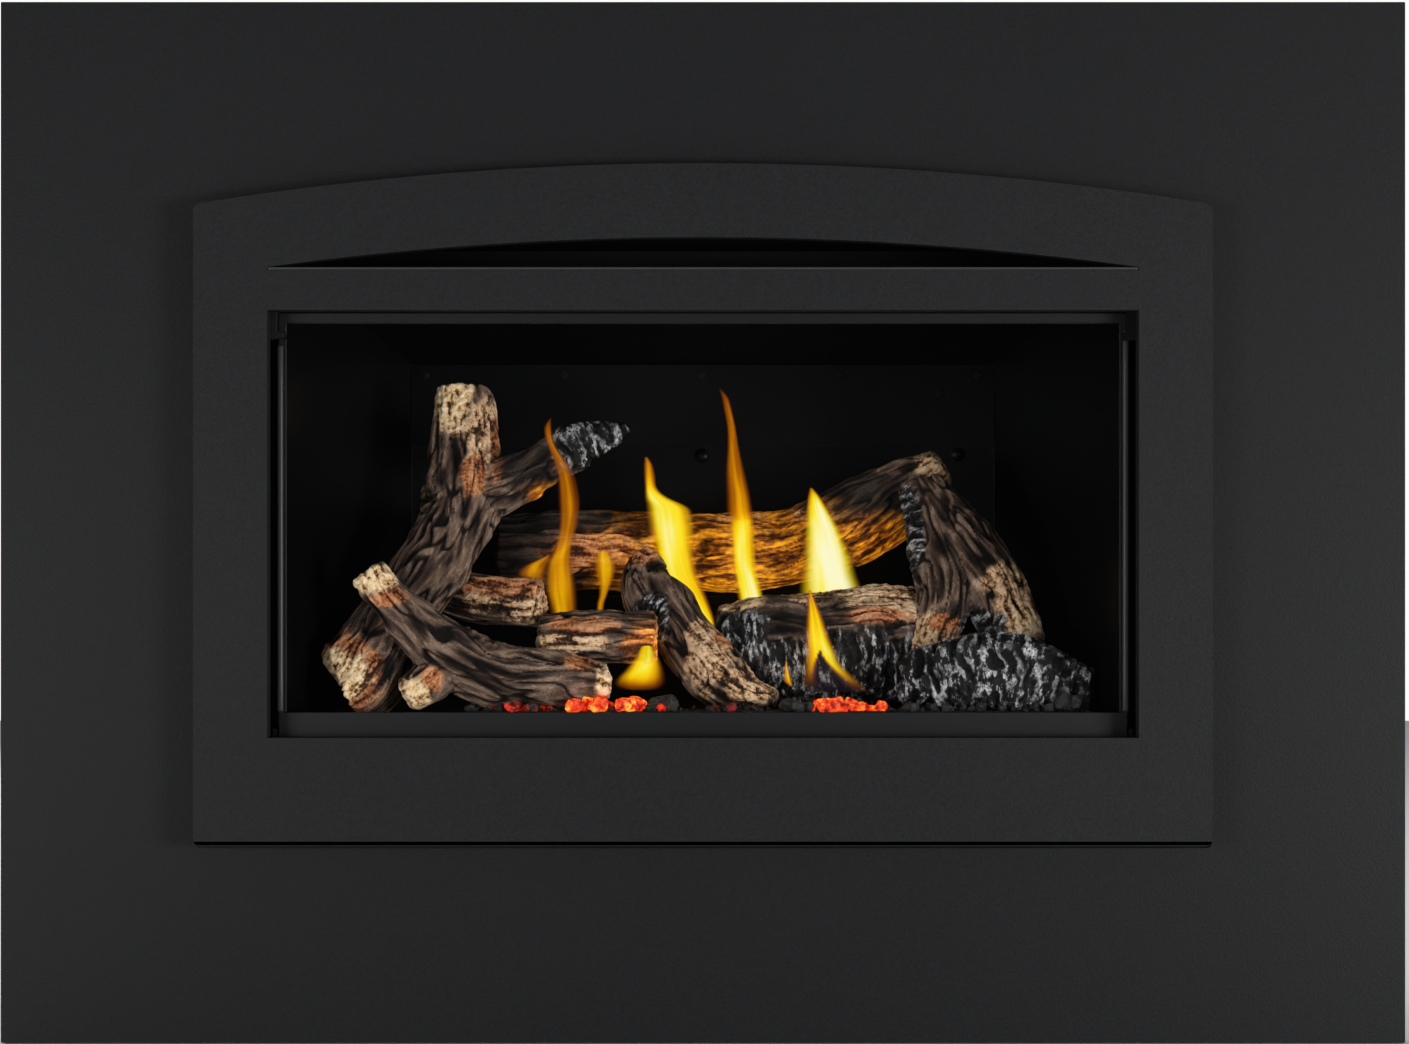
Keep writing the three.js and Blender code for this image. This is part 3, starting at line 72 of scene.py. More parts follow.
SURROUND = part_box("surround_plate")
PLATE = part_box("faceplate")
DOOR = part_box("door_frame")
BACK_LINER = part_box("liner_back")
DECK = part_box("burner_pan")
SURROUND_FRONT = SURROUND[0][1]
PLATE_FRONT = PLATE[0][1]
DECK_TOP = DECK[1][2]
BACK_PLANE = BACK_LINER[0][1]
GAP = 0.3 * MM                      # between pieces that touch
FLOOR_HEIGHT = cad_box[0][2] - 1 * MM

# ---------------------------------------------------------------- camera

PHOTO_WIDTH, PHOTO_HEIGHT = 1409, 1044
HORIZON_ROW = 577                  # row of the photograph level with the camera
CENTRE_COLUMN = 703                # column of the photograph on the object's middle
SENSOR = 36.0
CAMERA_DISTANCE = 1.86             # from the surround's face
PIXEL = 0.7231 * MM                # one pixel of the photograph at the surround's face
CAMERA_HEIGHT = 0.185


def link_object(name, data):
    """An object that holds a mesh, a camera or a lamp, linked to the scene."""
    thing = bpy.data.objects.new(name, data)
    bpy.context.scene.collection.objects.link(thing)
    return thing


def make_camera():
    """A level camera on the object's middle, shifted to frame what the photograph frames."""
    data = bpy.data.cameras.new("front_camera")
    data.sensor_width = SENSOR
    data.lens = SENSOR * CAMERA_DISTANCE / (PHOTO_WIDTH * PIXEL)
    data.shift_x = (PHOTO_WIDTH / 2 - CENTRE_COLUMN) / PHOTO_WIDTH
    data.shift_y = (HORIZON_ROW - PHOTO_HEIGHT / 2) / PHOTO_WIDTH
    camera = link_object("front_camera", data)
    camera.location = (0, SURROUND_FRONT - CAMERA_DISTANCE, CAMERA_HEIGHT)
    camera.rotation_euler = (math.pi / 2, 0, 0)
    bpy.context.scene.camera = camera


make_camera()

# ---------------------------------------------------------------- node helpers


def new_material(name):
    """An empty material with its output and one Principled shader."""
    material = bpy.data.materials.new(name)
    material.use_nodes = True
    nodes = material.node_tree.nodes
    nodes.clear()
    output = nodes.new("ShaderNodeOutputMaterial")
    shader = nodes.new("ShaderNodeBsdfPrincipled")
    material.node_tree.links.new(shader.outputs["BSDF"], output.inputs["Surface"])
    return material, shader


def node_tree(owner):
    """The tree of a material or a world; a node group is its own tree."""
    return owner.node_tree if hasattr(owner, "node_tree") else owner


def set_inputs(owner, node, inputs):
    """Gives a node's inputs their values, or links them to output sockets."""
    for key, value in inputs.items():
        if isinstance(value, bpy.types.NodeSocket):
            node_tree(owner).links.new(value, node.inputs[key])
        else:
            node.inputs[key].default_value = value


def add_node(owner, kind, inputs=None, **settings):
    """Adds a node; inputs holds values or the output sockets to link."""
    node = node_tree(owner).nodes.new(kind)
    for key, value in settings.items():
        setattr(node, key, value)
    set_inputs(owner, node, inputs or {})
    return node


def ramp(owner, factor, stops):
    """A colour ramp from (place, colour) stops; a colour may be one grey number."""
    node = add_node(owner, "ShaderNodeValToRGB", {"Fac": factor})
    elements = node.color_ramp.elements
    while len(elements) < len(stops):
        elements.new(0.5)
    for element, (place, colour) in zip(elements, stops):
        element.position = place
        grey = isinstance(colour, (int, float))
        element.color = (colour, colour, colour, 1) if grey else (*colour, 1)
    return node.outputs["Color"]


def mix(owner, factor, first, second):
    """Two colours mixed by a factor; each is a colour or an output socket."""
    colours = [value if isinstance(value, bpy.types.NodeSocket) else (*value, 1) for value in (first, second)]
    node = add_node(owner, "ShaderNodeMix", {0: factor, 6: colours[0], 7: colours[1]}, data_type="RGBA")
    return node.outputs[2]


def math_node(owner, operation, *values):
    return add_node(owner, "ShaderNodeMath", dict(enumerate(values)), operation=operation).outputs[0]


def product(owner, first, *others):
    """The first value times each of the others."""
    for other in others:
        first = math_node(owner, "MULTIPLY", first, other)
    return first


def weighted_sum(owner, total, *terms):
    """A number or value plus each (value, weight)."""
    for value, weight in terms:
        total = math_node(owner, "MULTIPLY_ADD", value, weight, total)
    return total


def attribute(owner, name):
    """A number that the mesh holds at each of its points."""
    return add_node(owner, "ShaderNodeAttribute", attribute_name=name).outputs["Fac"]


def object_place(owner):
    return add_node(owner, "ShaderNodeTexCoord").outputs["Object"]


def noise_texture(owner, place, scale, detail, roughness=0.5):
    return add_node(owner, "ShaderNodeTexNoise", {
        "Vector": place, "Scale": scale, "Detail": detail, "Roughness": roughness}).outputs["Fac"]


def stretched_noise(owner, place, stretch, detail, roughness=0.6, scale=1.0):
    """Noise whose grain is drawn out or packed together along each axis."""
    mapping = add_node(owner, "ShaderNodeMapping", {"Vector": place, "Scale": stretch})
    return noise_texture(owner, mapping.outputs["Vector"], scale, detail, roughness)


def object_noise(owner, scale, detail=4.0, roughness=0.55, stretch=(1, 1, 1)):
    """Noise on Object coordinates."""
    return stretched_noise(owner, object_place(owner), stretch, detail, roughness, scale)


def bump(owner, shader, height, distance, strength=1.0):
    node = add_node(owner, "ShaderNodeBump", {
        "Height": height, "Distance": distance, "Strength": strength})
    set_inputs(owner, shader, {"Normal": node.outputs["Normal"]})


# ---------------------------------------------------------------- shared effects


def new_group(name, inputs, outputs):
    """A shader node group with named value inputs and outputs."""
    group = bpy.data.node_groups.new(name, "ShaderNodeTree")
    for label, value in inputs.items():
        socket = group.interface.new_socket(name=label, in_out="INPUT", socket_type="NodeSocketFloat")
        socket.default_value = value
    for label in outputs:
        group.interface.new_socket(name=label, in_out="OUTPUT", socket_type="NodeSocketFloat")
    return group, group.nodes.new("NodeGroupInput"), group.nodes.new("NodeGroupOutput")


def make_grain_group():
    """Fine speckle and a slow drift of shade, both on Object coordinates."""
    group, ins, outs = new_group(
        "grain", {"Speckle scale": 900.0, "Drift scale": 6.0, "Speckle": 0.5, "Drift": 0.3},
        ["Shade", "Height"])
    place = object_place(group)
    speckle = noise_texture(group, place, ins.outputs["Speckle scale"], 2.0, 0.6)
    drift = noise_texture(group, place, ins.outputs["Drift scale"], 3.0)
    fine = math_node(group, "SUBTRACT", speckle, 0.5)
    slow = math_node(group, "SUBTRACT", drift, 0.5)
    shade = math_node(group, "ADD", product(group, fine, ins.outputs["Speckle"]),
                      product(group, slow, ins.outputs["Drift"]))
    set_inputs(group, outs, {"Shade": math_node(group, "ADD", shade, 0.5), "Height": speckle})
    return group


def make_dust_group():
    """Pale dust that settles on faces that look up."""
    group, ins, outs = new_group("dust", {"Amount": 0.3, "Scale": 60.0}, ["Mask"])
    normal = add_node(group, "ShaderNodeNewGeometry").outputs["Normal"]
    upward = add_node(group, "ShaderNodeSeparateXYZ", {"Vector": normal}).outputs["Z"]
    rising = math_node(group, "MAXIMUM", upward, 0.0)
    patch = noise_texture(group, object_place(group), ins.outputs["Scale"], 4.0)
    set_inputs(group, outs, {"Mask": product(group, rising, patch, ins.outputs["Amount"])})
    return group


GRAIN = make_grain_group()
DUST = make_dust_group()
DUST_COLOUR = (0.20, 0.19, 0.18)


def coated(name, dark, light, rough, bump_depth, speckle_scale=900.0, speckle=0.5, dust=0.0,
           gloss_level=0.25):
    """A coat of paint or enamel: two shades mixed by the grain, a little dust, and a fine bump."""
    material, shader = new_material(name)
    grain = add_node(material, "ShaderNodeGroup", {
        "Speckle scale": speckle_scale, "Drift scale": 5.0, "Speckle": speckle, "Drift": 0.25},
        node_tree=GRAIN)
    settled = add_node(material, "ShaderNodeGroup", {"Amount": dust, "Scale": 70.0}, node_tree=DUST)
    body = mix(material, grain.outputs["Shade"], dark, light)
    gloss = add_node(material, "ShaderNodeMapRange", {
        "Value": grain.outputs["Shade"], "To Min": rough[0], "To Max": rough[1]})
    set_inputs(material, shader, {
        "Base Color": mix(material, settled.outputs["Mask"], body, DUST_COLOUR),
        "Roughness": gloss.outputs["Result"], "Specular IOR Level": gloss_level})
    bump(material, shader, grain.outputs["Height"], bump_depth)
    return material


def make_galvanised():
    """Zinc-coated sheet: flat crystals of slightly different greys."""
    material, shader = new_material("galvanised_sheet")
    crystals = add_node(material, "ShaderNodeTexVoronoi", {"Vector": object_place(material), "Scale": 95.0})
    grey = add_node(material, "ShaderNodeSeparateColor", {"Color": crystals.outputs["Color"]})
    cloud = object_noise(material, 14.0)
    blend = weighted_sum(material, product(material, cloud, 0.45), (grey.outputs["Red"], 0.55))
    set_inputs(material, shader, {
        "Base Color": ramp(material, blend, [(0.2, (0.30, 0.31, 0.32)), (0.8, (0.50, 0.51, 0.52))]),
        "Roughness": ramp(material, blend, [(0.2, 0.30), (0.8, 0.50)]), "Metallic": 0.85})
    bump(material, shader, blend, 0.1 * MM, 0.4)
    return material


def make_bare_metal(name, dark, light, rough, metallic=1.0):
    """Uncoated metal, or plain fired ceramic when metallic is 0: two shades in soft clouds."""
    material, shader = new_material(name)
    cloud = object_noise(material, 160.0)
    set_inputs(material, shader, {
        "Base Color": ramp(material, cloud, [(0.3, dark), (0.7, light)]),
        "Roughness": ramp(material, cloud, [(0.3, rough[0]), (0.7, rough[1])]), "Metallic": metallic})
    bump(material, shader, cloud, 0.05 * MM, 0.5)
    return material


def make_glass():
    """Clear ceramic glass, seen through by its alpha, with a faint uneven film."""
    material, shader = new_material("ceramic_glass")
    film = object_noise(material, 9.0, detail=2.0)
    set_inputs(material, shader, {
        "Alpha": ramp(material, film, [(0.35, 0.010), (0.75, 0.018)]),
        "Roughness": ramp(material, film, [(0.3, 0.02), (0.8, 0.05)]),
        "Base Color": (0.012, 0.013, 0.013, 1)})
    return material


def make_rope():
    """Braided glass rope: crossed diagonal ribs."""
    material, shader = new_material("glass_rope")
    place = object_place(material)
    ribs = [add_node(material, "ShaderNodeTexWave", {
        "Vector": add_node(material, "ShaderNodeMapping", {
            "Vector": place, "Rotation": (0, turn, 0)}).outputs["Vector"],
        "Scale": 260.0, "Distortion": 1.0}, bands_direction="X").outputs["Fac"] for turn in (0.78, -0.78)]
    weave = product(material, *ribs)
    set_inputs(material, shader, {
        "Base Color": ramp(material, weave, [(0.1, (0.02, 0.02, 0.02)), (0.8, (0.07, 0.068, 0.062))]),
        "Roughness": ramp(material, weave, [(0, 0.8), (1, 0.95)])})
    bump(material, shader, weave, 0.5 * MM)
    return material


FINISHES = {
    "powder_coat": coated("powder_coat", (0.0090, 0.0092, 0.0096), (0.0150, 0.0153, 0.0160), (0.42, 0.52),
                          0.20 * MM, speckle_scale=620.0, speckle=1.9, gloss_level=0.08),
    # the faceplate's powder coat, a lighter copy of the surround's: painted light
    "powder_coat_painted_lighter": coated("powder_coat_painted_lighter", (0.0100, 0.0102, 0.0106), (0.0172, 0.0175, 0.0182), (0.42, 0.52),
                         0.20 * MM, speckle_scale=620.0, speckle=2.0, gloss_level=0.08),
    "door_coat": coated("door_coat", (0.0068, 0.0070, 0.0073), (0.0105, 0.0107, 0.0112), (0.36, 0.46),
                        0.06 * MM, gloss_level=0.16),
    # the door's coat made lighter for the rolled edges of its side channels: painted highlight where they
    # catch the lamps
    "door_bead": coated("door_bead", (0.030, 0.0305, 0.0315), (0.040, 0.0405, 0.0415), (0.36, 0.44),
                        0.04 * MM, gloss_level=0.3),
    # the outlet lip's coat, lighter than the faceplate's: painted highlight
    "lip_coat_painted_highlight": coated("lip_coat_painted_highlight", (0.026, 0.0265, 0.027), (0.040, 0.0405, 0.0415), (0.34, 0.42),
                       0.05 * MM, gloss_level=0.2),
    "black_steel": coated("black_steel", (0.004, 0.004, 0.0045), (0.007, 0.007, 0.0075), (0.5, 0.65),
                          0.08 * MM, speckle_scale=700.0, dust=0.05, gloss_level=0.08),
    "porcelain": coated("porcelain", (0.0013, 0.0014, 0.0017), (0.0024, 0.0026, 0.0031), (0.28, 0.38),
                        0.05 * MM, speckle_scale=90.0, gloss_level=0.10),
    "galvanised_steel": make_galvanised(),
    "glass": make_glass(),
    "rope_gasket": make_rope(),
    "brass": make_bare_metal("plain_brass", (0.50, 0.34, 0.12), (0.62, 0.45, 0.18), (0.28, 0.45)),
    "aluminium": make_bare_metal("cast_aluminium", (0.40, 0.41, 0.42), (0.52, 0.53, 0.54), (0.35, 0.55)),
    "white_ceramic": make_bare_metal("white_ceramic", (0.62, 0.60, 0.55), (0.72, 0.70, 0.66),
                                     (0.5, 0.65), metallic=0.0),
    "black_plastic": coated("moulded_plastic", (0.011, 0.011, 0.012), (0.017, 0.017, 0.018),
                            (0.35, 0.45), 0.05 * MM, speckle_scale=600.0, dust=0.15),
}


def dress_frame():
    """Every CAD node that stays gets the finish of its material slot."""
    for part in frame["record"]["subparts"]:
        finish = FINISHES.get(part["material_slot"])
        if finish is None:
            continue
        node = frame["nodes"][part["node"]]
        node.data.materials.clear()
        node.data.materials.append(finish)


dress_frame()

# ---------------------------------------------------------------- ceramic logs


def catmull_rom(points, count):
    """A smooth curve through the points: each span blends its four nearest points by cubic weights."""
    points = np.asarray(points, float)
    padded = np.vstack([2 * points[0] - points[1], points, 2 * points[-1] - points[-2]])
    place = np.linspace(0, len(points) - 1 - 1e-9, count)
    span = place.astype(int)
    t = (place - span)[:, None]
    a, b, c, d = (padded[span + i] for i in range(4))
    return 0.5 * (2 * b + (c - a) * t + (2 * a - 5 * b + 4 * c - d) * t ** 2
                  + (3 * b - a - 3 * c + d) * t ** 3)


def make_noise_table(seed, size=256):
    """Random unit gradients and a shuffled index for the noise below."""
    draw = np.random.default_rng(seed)
    gradients = draw.normal(size=(size, 3))
    return draw.permutation(size), gradients / np.linalg.norm(gradients, axis=1)[:, None]


NOISE_ORDER, NOISE_GRADIENTS = make_noise_table(SEED)


def noise(points):
    """Gradient noise, about -1 to 1: eight corner slopes blended by a quintic fade."""
    cell = np.floor(points).astype(int)
    inside = points - cell
    fade = inside ** 3 * (inside * (inside * 6 - 15) + 10)
    size = len(NOISE_ORDER)
    total = np.zeros(len(points))
    for corner in ((x, y, z) for x in (0, 1) for y in (0, 1) for z in (0, 1)):
        index = NOISE_ORDER[(cell[:, 0] + corner[0]) % size]
        index = NOISE_ORDER[(index + cell[:, 1] + corner[1]) % size]
        index = NOISE_ORDER[(index + cell[:, 2] + corner[2]) % size]
        slope = (NOISE_GRADIENTS[index] * (inside - corner)).sum(1)
        weight = np.where(corner, fade, 1 - fade).prod(1)
        total += slope * weight
    return total * 1.6


def fractal(points, octaves=3):
    """Noise added to itself at twice the scale and half the height, over and over."""
    total = np.zeros(len(points))
    for octave in range(octaves):
        total += noise(points * 2 ** octave + 17.3 * octave) * 0.5 ** octave
    return total


def smooth_step(low, high, value):
    share = np.clip((value - low) / (high - low), 0, 1)
    return share * share * (3 - 2 * share)


def swell(angle, distance, seed):
    """The bark's swells, as in the solid: slow waves round the limb and along it."""
    return (1 + 0.07 * np.sin(3 * angle + seed + distance * 0.013)
            + 0.05 * np.sin(5 * angle - 2 * seed + distance * 0.031)
            + 0.04 * np.sin(distance * 0.07 + seed))


LIMB_STEPS, LIMB_SIDES = 90, 56
# The rings that round off a limb's ends, from the tip inwards, as shares of the radius there.
END_WIDTHS = (0.35, 0.75, 0.93)
END_REACHES = (0.16, 0.10, 0.04)


def full_turn(sides):
    """Equal angles round a circle, one for each side."""
    return np.arange(sides) / sides * 2 * np.pi


class Limb:
    """A limb's smooth centre line with its radii and, at each step, two directions square to it."""

    def __init__(self, points, seed, tall, seat):
        table = np.array(points, float)
        table[:, 2] += seat
        curve = catmull_rom(table, LIMB_STEPS)
        self.centres, self.radii = curve[:, :3], curve[:, 3]
        along = np.gradient(self.centres, axis=0)
        self.along = along / np.linalg.norm(along, axis=1)[:, None]
        side = np.cross(self.along, (0.0, 1.0, 0.0))
        self.side = side / np.linalg.norm(side, axis=1)[:, None]
        self.front = np.cross(self.side, self.along)
        steps = np.linalg.norm(np.diff(self.centres, axis=0), axis=1)
        self.distance = np.concatenate([[0], np.cumsum(steps)])
        self.seed, self.tall = seed, tall

    def surface(self):
        """A closed tube: rings of the swelling radius, and the shrinking rings at each end."""
        angle = full_turn(LIMB_SIDES)
        steps, ends = len(self.radii), len(END_WIDTHS)
        row = np.concatenate([[0] * ends, np.arange(steps), [steps - 1] * ends])
        inset = np.concatenate([END_WIDTHS, np.ones(steps), END_WIDTHS[::-1]])
        bulge = np.concatenate([np.negative(END_REACHES), np.zeros(steps), END_REACHES[::-1]])
        reach = (self.radii[row, None] * inset[:, None]
                 * swell(angle[None, :], self.distance[row, None], self.seed))
        return (self.centres[row, None] + self.along[row, None] * (self.radii[row] * bulge)[:, None, None]
                + self.side[row, None] * (reach * self.tall * np.cos(angle))[..., None]
                + self.front[row, None] * (reach * np.sin(angle))[..., None])

    def measure(self, points):
        """Each point's distance along the limb, place across it and in front, and share of its radius."""
        step = np.empty(len(points), int)
        for part in np.array_split(np.arange(len(points)), len(points) // 20000 + 1):
            apart = points[part, None] - self.centres[None]
            step[part] = (apart ** 2).sum(2).argmin(1)
        offset = points - self.centres[step]
        beyond = (offset * self.along[step]).sum(1)
        across = (offset * self.side[step]).sum(1) / self.tall
        forward = (offset * self.front[step]).sum(1)
        share = np.hypot(across, forward) / self.radii[step]
        return self.distance[step] + beyond, across, forward, share


def grid_faces(rows, columns):
    """Quads of a tube's grid, with its first and last rings closed by one polygon each."""
    row, column = np.meshgrid(np.arange(rows - 1), np.arange(columns), indexing="ij")
    here = (row * columns + column).ravel()
    beside = (row * columns + (column + 1) % columns).ravel()
    quads = np.stack([here, here + columns, beside + columns, beside], axis=1)
    first = list(range(columns))
    last = list(range((rows - 1) * columns, rows * columns))[::-1]
    return [tuple(quad) for quad in quads.tolist()] + [tuple(first), tuple(last)]


def shifted(faces, first):
    """The same faces, with their vertices counted from first."""
    return [tuple(index + first for index in face) for face in faces]


def add_object(name, vertices, faces, material=None):
    """A mesh object at the origin, its normals made to point outwards."""
    mesh = bpy.data.meshes.new(name)
    mesh.from_pydata(np.asarray(vertices).tolist(), [], faces)
    shaped = bmesh.new()
    shaped.from_mesh(mesh)
    bmesh.ops.recalc_face_normals(shaped, faces=shaped.faces)
    shaped.to_mesh(mesh)
    shaped.free()
    if material is not None:
        mesh.materials.append(material)
    return link_object(name, mesh)


def shade_smooth(mesh, sharp_above=None):
    """Smooth shading; edges sharper than the given angle, in degrees, stay sharp."""
    mesh.polygons.foreach_set("use_smooth", np.ones(len(mesh.polygons), bool))
    if sharp_above is not None:
        mesh.set_sharp_from_angle(angle=math.radians(sharp_above))


def remesh(piece, voxel):
    """Replaces a piece's mesh by its outer surface in even cells."""
    modifier = piece.modifiers.new("cells", "REMESH")
    modifier.mode = "VOXEL"
    modifier.voxel_size = voxel
    baked = bpy.data.meshes.new_from_object(piece.evaluated_get(bpy.context.evaluated_depsgraph_get()))
    piece.modifiers.remove(modifier)
    piece.data = baked


def relax(points, edges, passes):
    """Moves each point half way to the middle of its neighbours, several times."""
    count = np.bincount(edges.ravel(), minlength=len(points))[:, None]
    for _ in range(passes):
        total = np.zeros_like(points)
        np.add.at(total, edges[:, 0], points[edges[:, 1]])
        np.add.at(total, edges[:, 1], points[edges[:, 0]])
        points = points + 0.5 * (total / count - points)
    return points


def read_rows(items, field, width, kind=float):
    """A field of a mesh's vertices, normals or edges, one row for each."""
    flat = np.empty(len(items) * width, kind)
    items.foreach_get(field, flat)
    return flat.reshape(-1, width)


def write_points(mesh, points):
    mesh.vertices.foreach_set("co", np.asarray(points, np.float32).ravel())
    mesh.update()


def write_attribute(mesh, name, values):
    """Gives every point of a mesh a number or a vector."""
    values = np.asarray(values, np.float32)
    kind, field = ("FLOAT", "value") if values.ndim == 1 else ("FLOAT_VECTOR", "vector")
    mesh.attributes.new(name, kind, "POINT").data.foreach_set(field, values.ravel())
# The log set, as in the solids. A limb's points are [x, y, z, radius] in millimetres from the
# middle of the deck's front edge. A patch is [kind, x, z, half width, half height], seen from the front.
REST_HEIGHT = 86.0
LOGS = {
    "log_left_tall": dict(seed=1, limbs=[
        [[-263, 34, 20, 30], [-254, 36, 29, 33], [-232, 60, 71, 27], [-204, 94, 115, 27],
         [-189, 116, 154, 29], [-188, 132, 198, 27], [-190, 147, 246, 22]],
        [[-192, 116, 158, 22], [-152, 122, 174, 21], [-121, 127, 192, 16], [-100, 130, 204, 18],
         [-70, 134, 215, 9], [-61, 135, 220, 6]]],
        patches=[
            ["end", -266, 28, 19, 19], ["rust", -266, 29, 27, 27], ["end", -195, 240, 17, 24],
            ["tan", -172, 212, 13, 31], ["rust", -177, 180, 10, 16], ["rust", -160, 205, 5, 30],
            ["char", -82, 210, 38, 34], ["painted_flame_light", -122, 166, 13, 7],
            ["painted_shade", -136, 192, 30, 17], ["painted_shade", -118, 172, 26, 12]]),
    "log_right_base": dict(seed=2, limbs=[
        [[149, 46, 22, 18], [194, 38, 27, 29], [239, 34, 28, 29], [288, 30, 19, 15]]],
        patches=[["char", 218, 26, 120, 60]]),
    "log_front_fork": dict(seed=3, limbs=[
        [[-247, 14, 104, 13], [-220, 12, 74, 16], [-190, 15, 48, 21], [-150, 24, 29, 25],
         [-107, 32, 23, 23], [-74, 40, 19, 18]],
        [[-184, 16, 39, 17], [-207, 10, 21, 15], [-218, 8, 14, 13]]],
        patches=[
            ["end", -242, 102, 19, 11], ["rust", -231, 87, 12, 8], ["end", -214, 15, 13, 13],
            ["rust", -199, 26, 9, 9], ["end", -72, 24, 8, 14], ["rust", -92, 38, 12, 6]]),
    "log_centre": dict(seed=4, limbs=[
        [[-47, 140, 119, 10], [-41, 122, 92, 22], [-17, 92, 61, 23], [8, 62, 31, 23],
         [29, 42, 15, 16], [52, 32, 9, 8]]],
        patches=[
            ["rust", -47, 120, 12, 10], ["char", -40, 68, 15, 23], ["tan", 3, 43, 18, 26],
            ["tan", 34, 22, 22, 14], ["rust", 24, 56, 18, 7]]),
    "log_right_front": dict(seed=5, tall=1.33, limbs=[
        [[15, 102, 39, 32], [68, 102, 42, 36], [114, 102, 45, 35], [167, 106, 48, 32]]],
        patches=[
            ["tan", 104, 92, 46, 13], ["tan", 150, 86, 26, 16], ["char", 112, 30, 92, 32],
            ["char", 28, 60, 26, 15], ["tan", 28, 82, 18, 8], ["painted_shade", 62, 68, 48, 11],
            ["rust", 132, 72, 24, 6], ["painted_shade", 96, 80, 14, 7]]),
    "log_rear": dict(seed=6, seat=REST_HEIGHT, limbs=[
        [[-162, 176, 34, 30], [-82, 176, 35, 32], [-2, 176, 34, 32], [62, 176, 37, 30],
         [119, 174, 58, 30], [162, 170, 86, 26], [190, 164, 103, 16]]],
        patches=[
            ["tan", 190, 192, 22, 18], ["painted_flame_light", 30, 116, 86, 34], ["rust", -88, 122, 44, 16],
            ["painted_flame_light", 126, 130, 32, 16], ["tan", 60, 150, 60, 5], ["painted_shade", -152, 120, 42, 44],
            ["painted_shade", 120, 166, 50, 22], ["painted_shade", -84, 148, 50, 9], ["painted_shade", 56, 118, 74, 40],
            ["painted_shade", 140, 132, 44, 34]]),
    "log_left_front": dict(seed=7, limbs=[
        [[-123, 72, 53, 19], [-78, 72, 54, 21], [-38, 74, 54, 19]]],
        patches=[
            ["rust", -88, 66, 30, 6], ["tan", -105, 51, 34, 8], ["rust", -46, 47, 14, 16],
            ["painted_flame_light", -40, 52, 14, 14]]),
    "log_left_stub": dict(seed=8, limbs=[
        [[-204, 110, 93, 17], [-172, 98, 85, 19], [-126, 82, 82, 17]]],
        patches=[["tan", -133, 80, 22, 16], ["rust", -150, 95, 30, 10], ["tan", -168, 84, 16, 9]]),
    "log_right_crossed": dict(seed=9, limbs=[
        [[166, 138, 175, 13], [182, 122, 131, 22], [188, 102, 92, 22], [175, 72, 45, 16]],
        [[174, 140, 172, 16], [205, 118, 123, 27], [226, 96, 88, 26], [244, 68, 45, 18]]],
        patches=[
            ["char", 162, 140, 9, 40], ["tan", 241, 73, 20, 28], ["end", 244, 62, 10, 14],
            ["tan", 229, 100, 18, 12], ["tan", 177, 57, 18, 18], ["rust", 184, 66, 12, 8],
            ["char", 211, 62, 18, 16]]),
}
# Two of the kinds paint light, not marks of the logs: one darkens them as painted shade, one glows orange as
# painted light from the flames.
PATCH_KINDS = ("end", "tan", "rust", "char", "painted_flame_light", "painted_shade")
LOG_CELL, QUICK_LOG_CELL = 1.35, 2.2        # edge of the cells that a log's skin is made of
LOG_FOOT = 0.2                              # least height of a log's skin over the deck
RELIEF_FROM, RELIEF_TO = -2.6, 2.4          # depths of bark that the finish reads as 0 and 1


def to_metres(points):
    """From the log tables' millimetres to the object's frame."""
    return np.asarray(points, float) * MM + (0, DECK[0][1], DECK_TOP + GAP)


def patch_masks(points, patches):
    """How far each point is inside each kind's patches: soft-edged ellipses with a ragged rim."""
    ragged = 0.55 * fractal(points / 13.0, 3) + 0.25 * fractal(points / 4.0, 2)
    masks = {kind: np.zeros(len(points)) for kind in PATCH_KINDS}
    for kind, x, z, half_width, half_height in patches:
        reach = np.hypot((points[:, 0] - x) / half_width, (points[:, 2] - z) / half_height)
        # the patches of orange painted flame light have the softest rims
        soft = 0.75 if kind == "painted_flame_light" else 0.2
        mask = 1 - smooth_step(1 - soft, 1 + soft, reach + 0.5 * ragged)
        masks[kind] = np.maximum(masks[kind], mask)
    masks["rust"] *= 1 - masks["end"]
    return masks


def bark_height(distance, across, forward, seed):
    """Fibrous bark: sharp ridges that follow the limb, split by cracks, on slow lumps."""
    place = np.stack([distance / 46.0 + seed, across / 7.5, forward / 7.5], axis=1)
    warp = 0.55 * noise(np.stack([distance / 30.0, across / 18.0, forward / 18.0 + seed], axis=1))
    place[:, 1] += warp
    place[:, 2] += warp
    coarse = noise(place)
    ridge = 1 - np.abs(coarse) * 2.1
    fine = noise(place * (1.6, 2.7, 2.7) + 5.0)
    crack = 1 - smooth_step(0.0, 0.13, np.abs(noise(place * 0.8 + 9.0)))
    lumps = noise(np.stack([distance / 38.0 + seed, across / 22.0, forward / 22.0], axis=1))
    height = 1.5 * (ridge - 0.4) + 0.8 * fine - 2.1 * crack
    return height + 2.6 * lumps, height


def char_height(distance, across, forward, seed):
    """Charred wood: blocks split by cracks that run round the limb and a few along it."""
    place = np.stack([distance / 7.0 + 0.9 * noise(
        np.stack([across / 16.0, forward / 16.0, distance / 40.0 + seed], axis=1)),
        across / 26.0, forward / 26.0 + seed], axis=1)
    ribs = 1 - np.abs(noise(place)) * 2.2
    along = noise(np.stack([distance / 22.0, across / 6.0 + seed, forward / 6.0], axis=1))
    fine = fractal(np.stack([distance, across, forward], axis=1) / 3.2, 2)
    return 2.0 * (ribs - 0.35) + 0.9 * along + 0.6 * fine


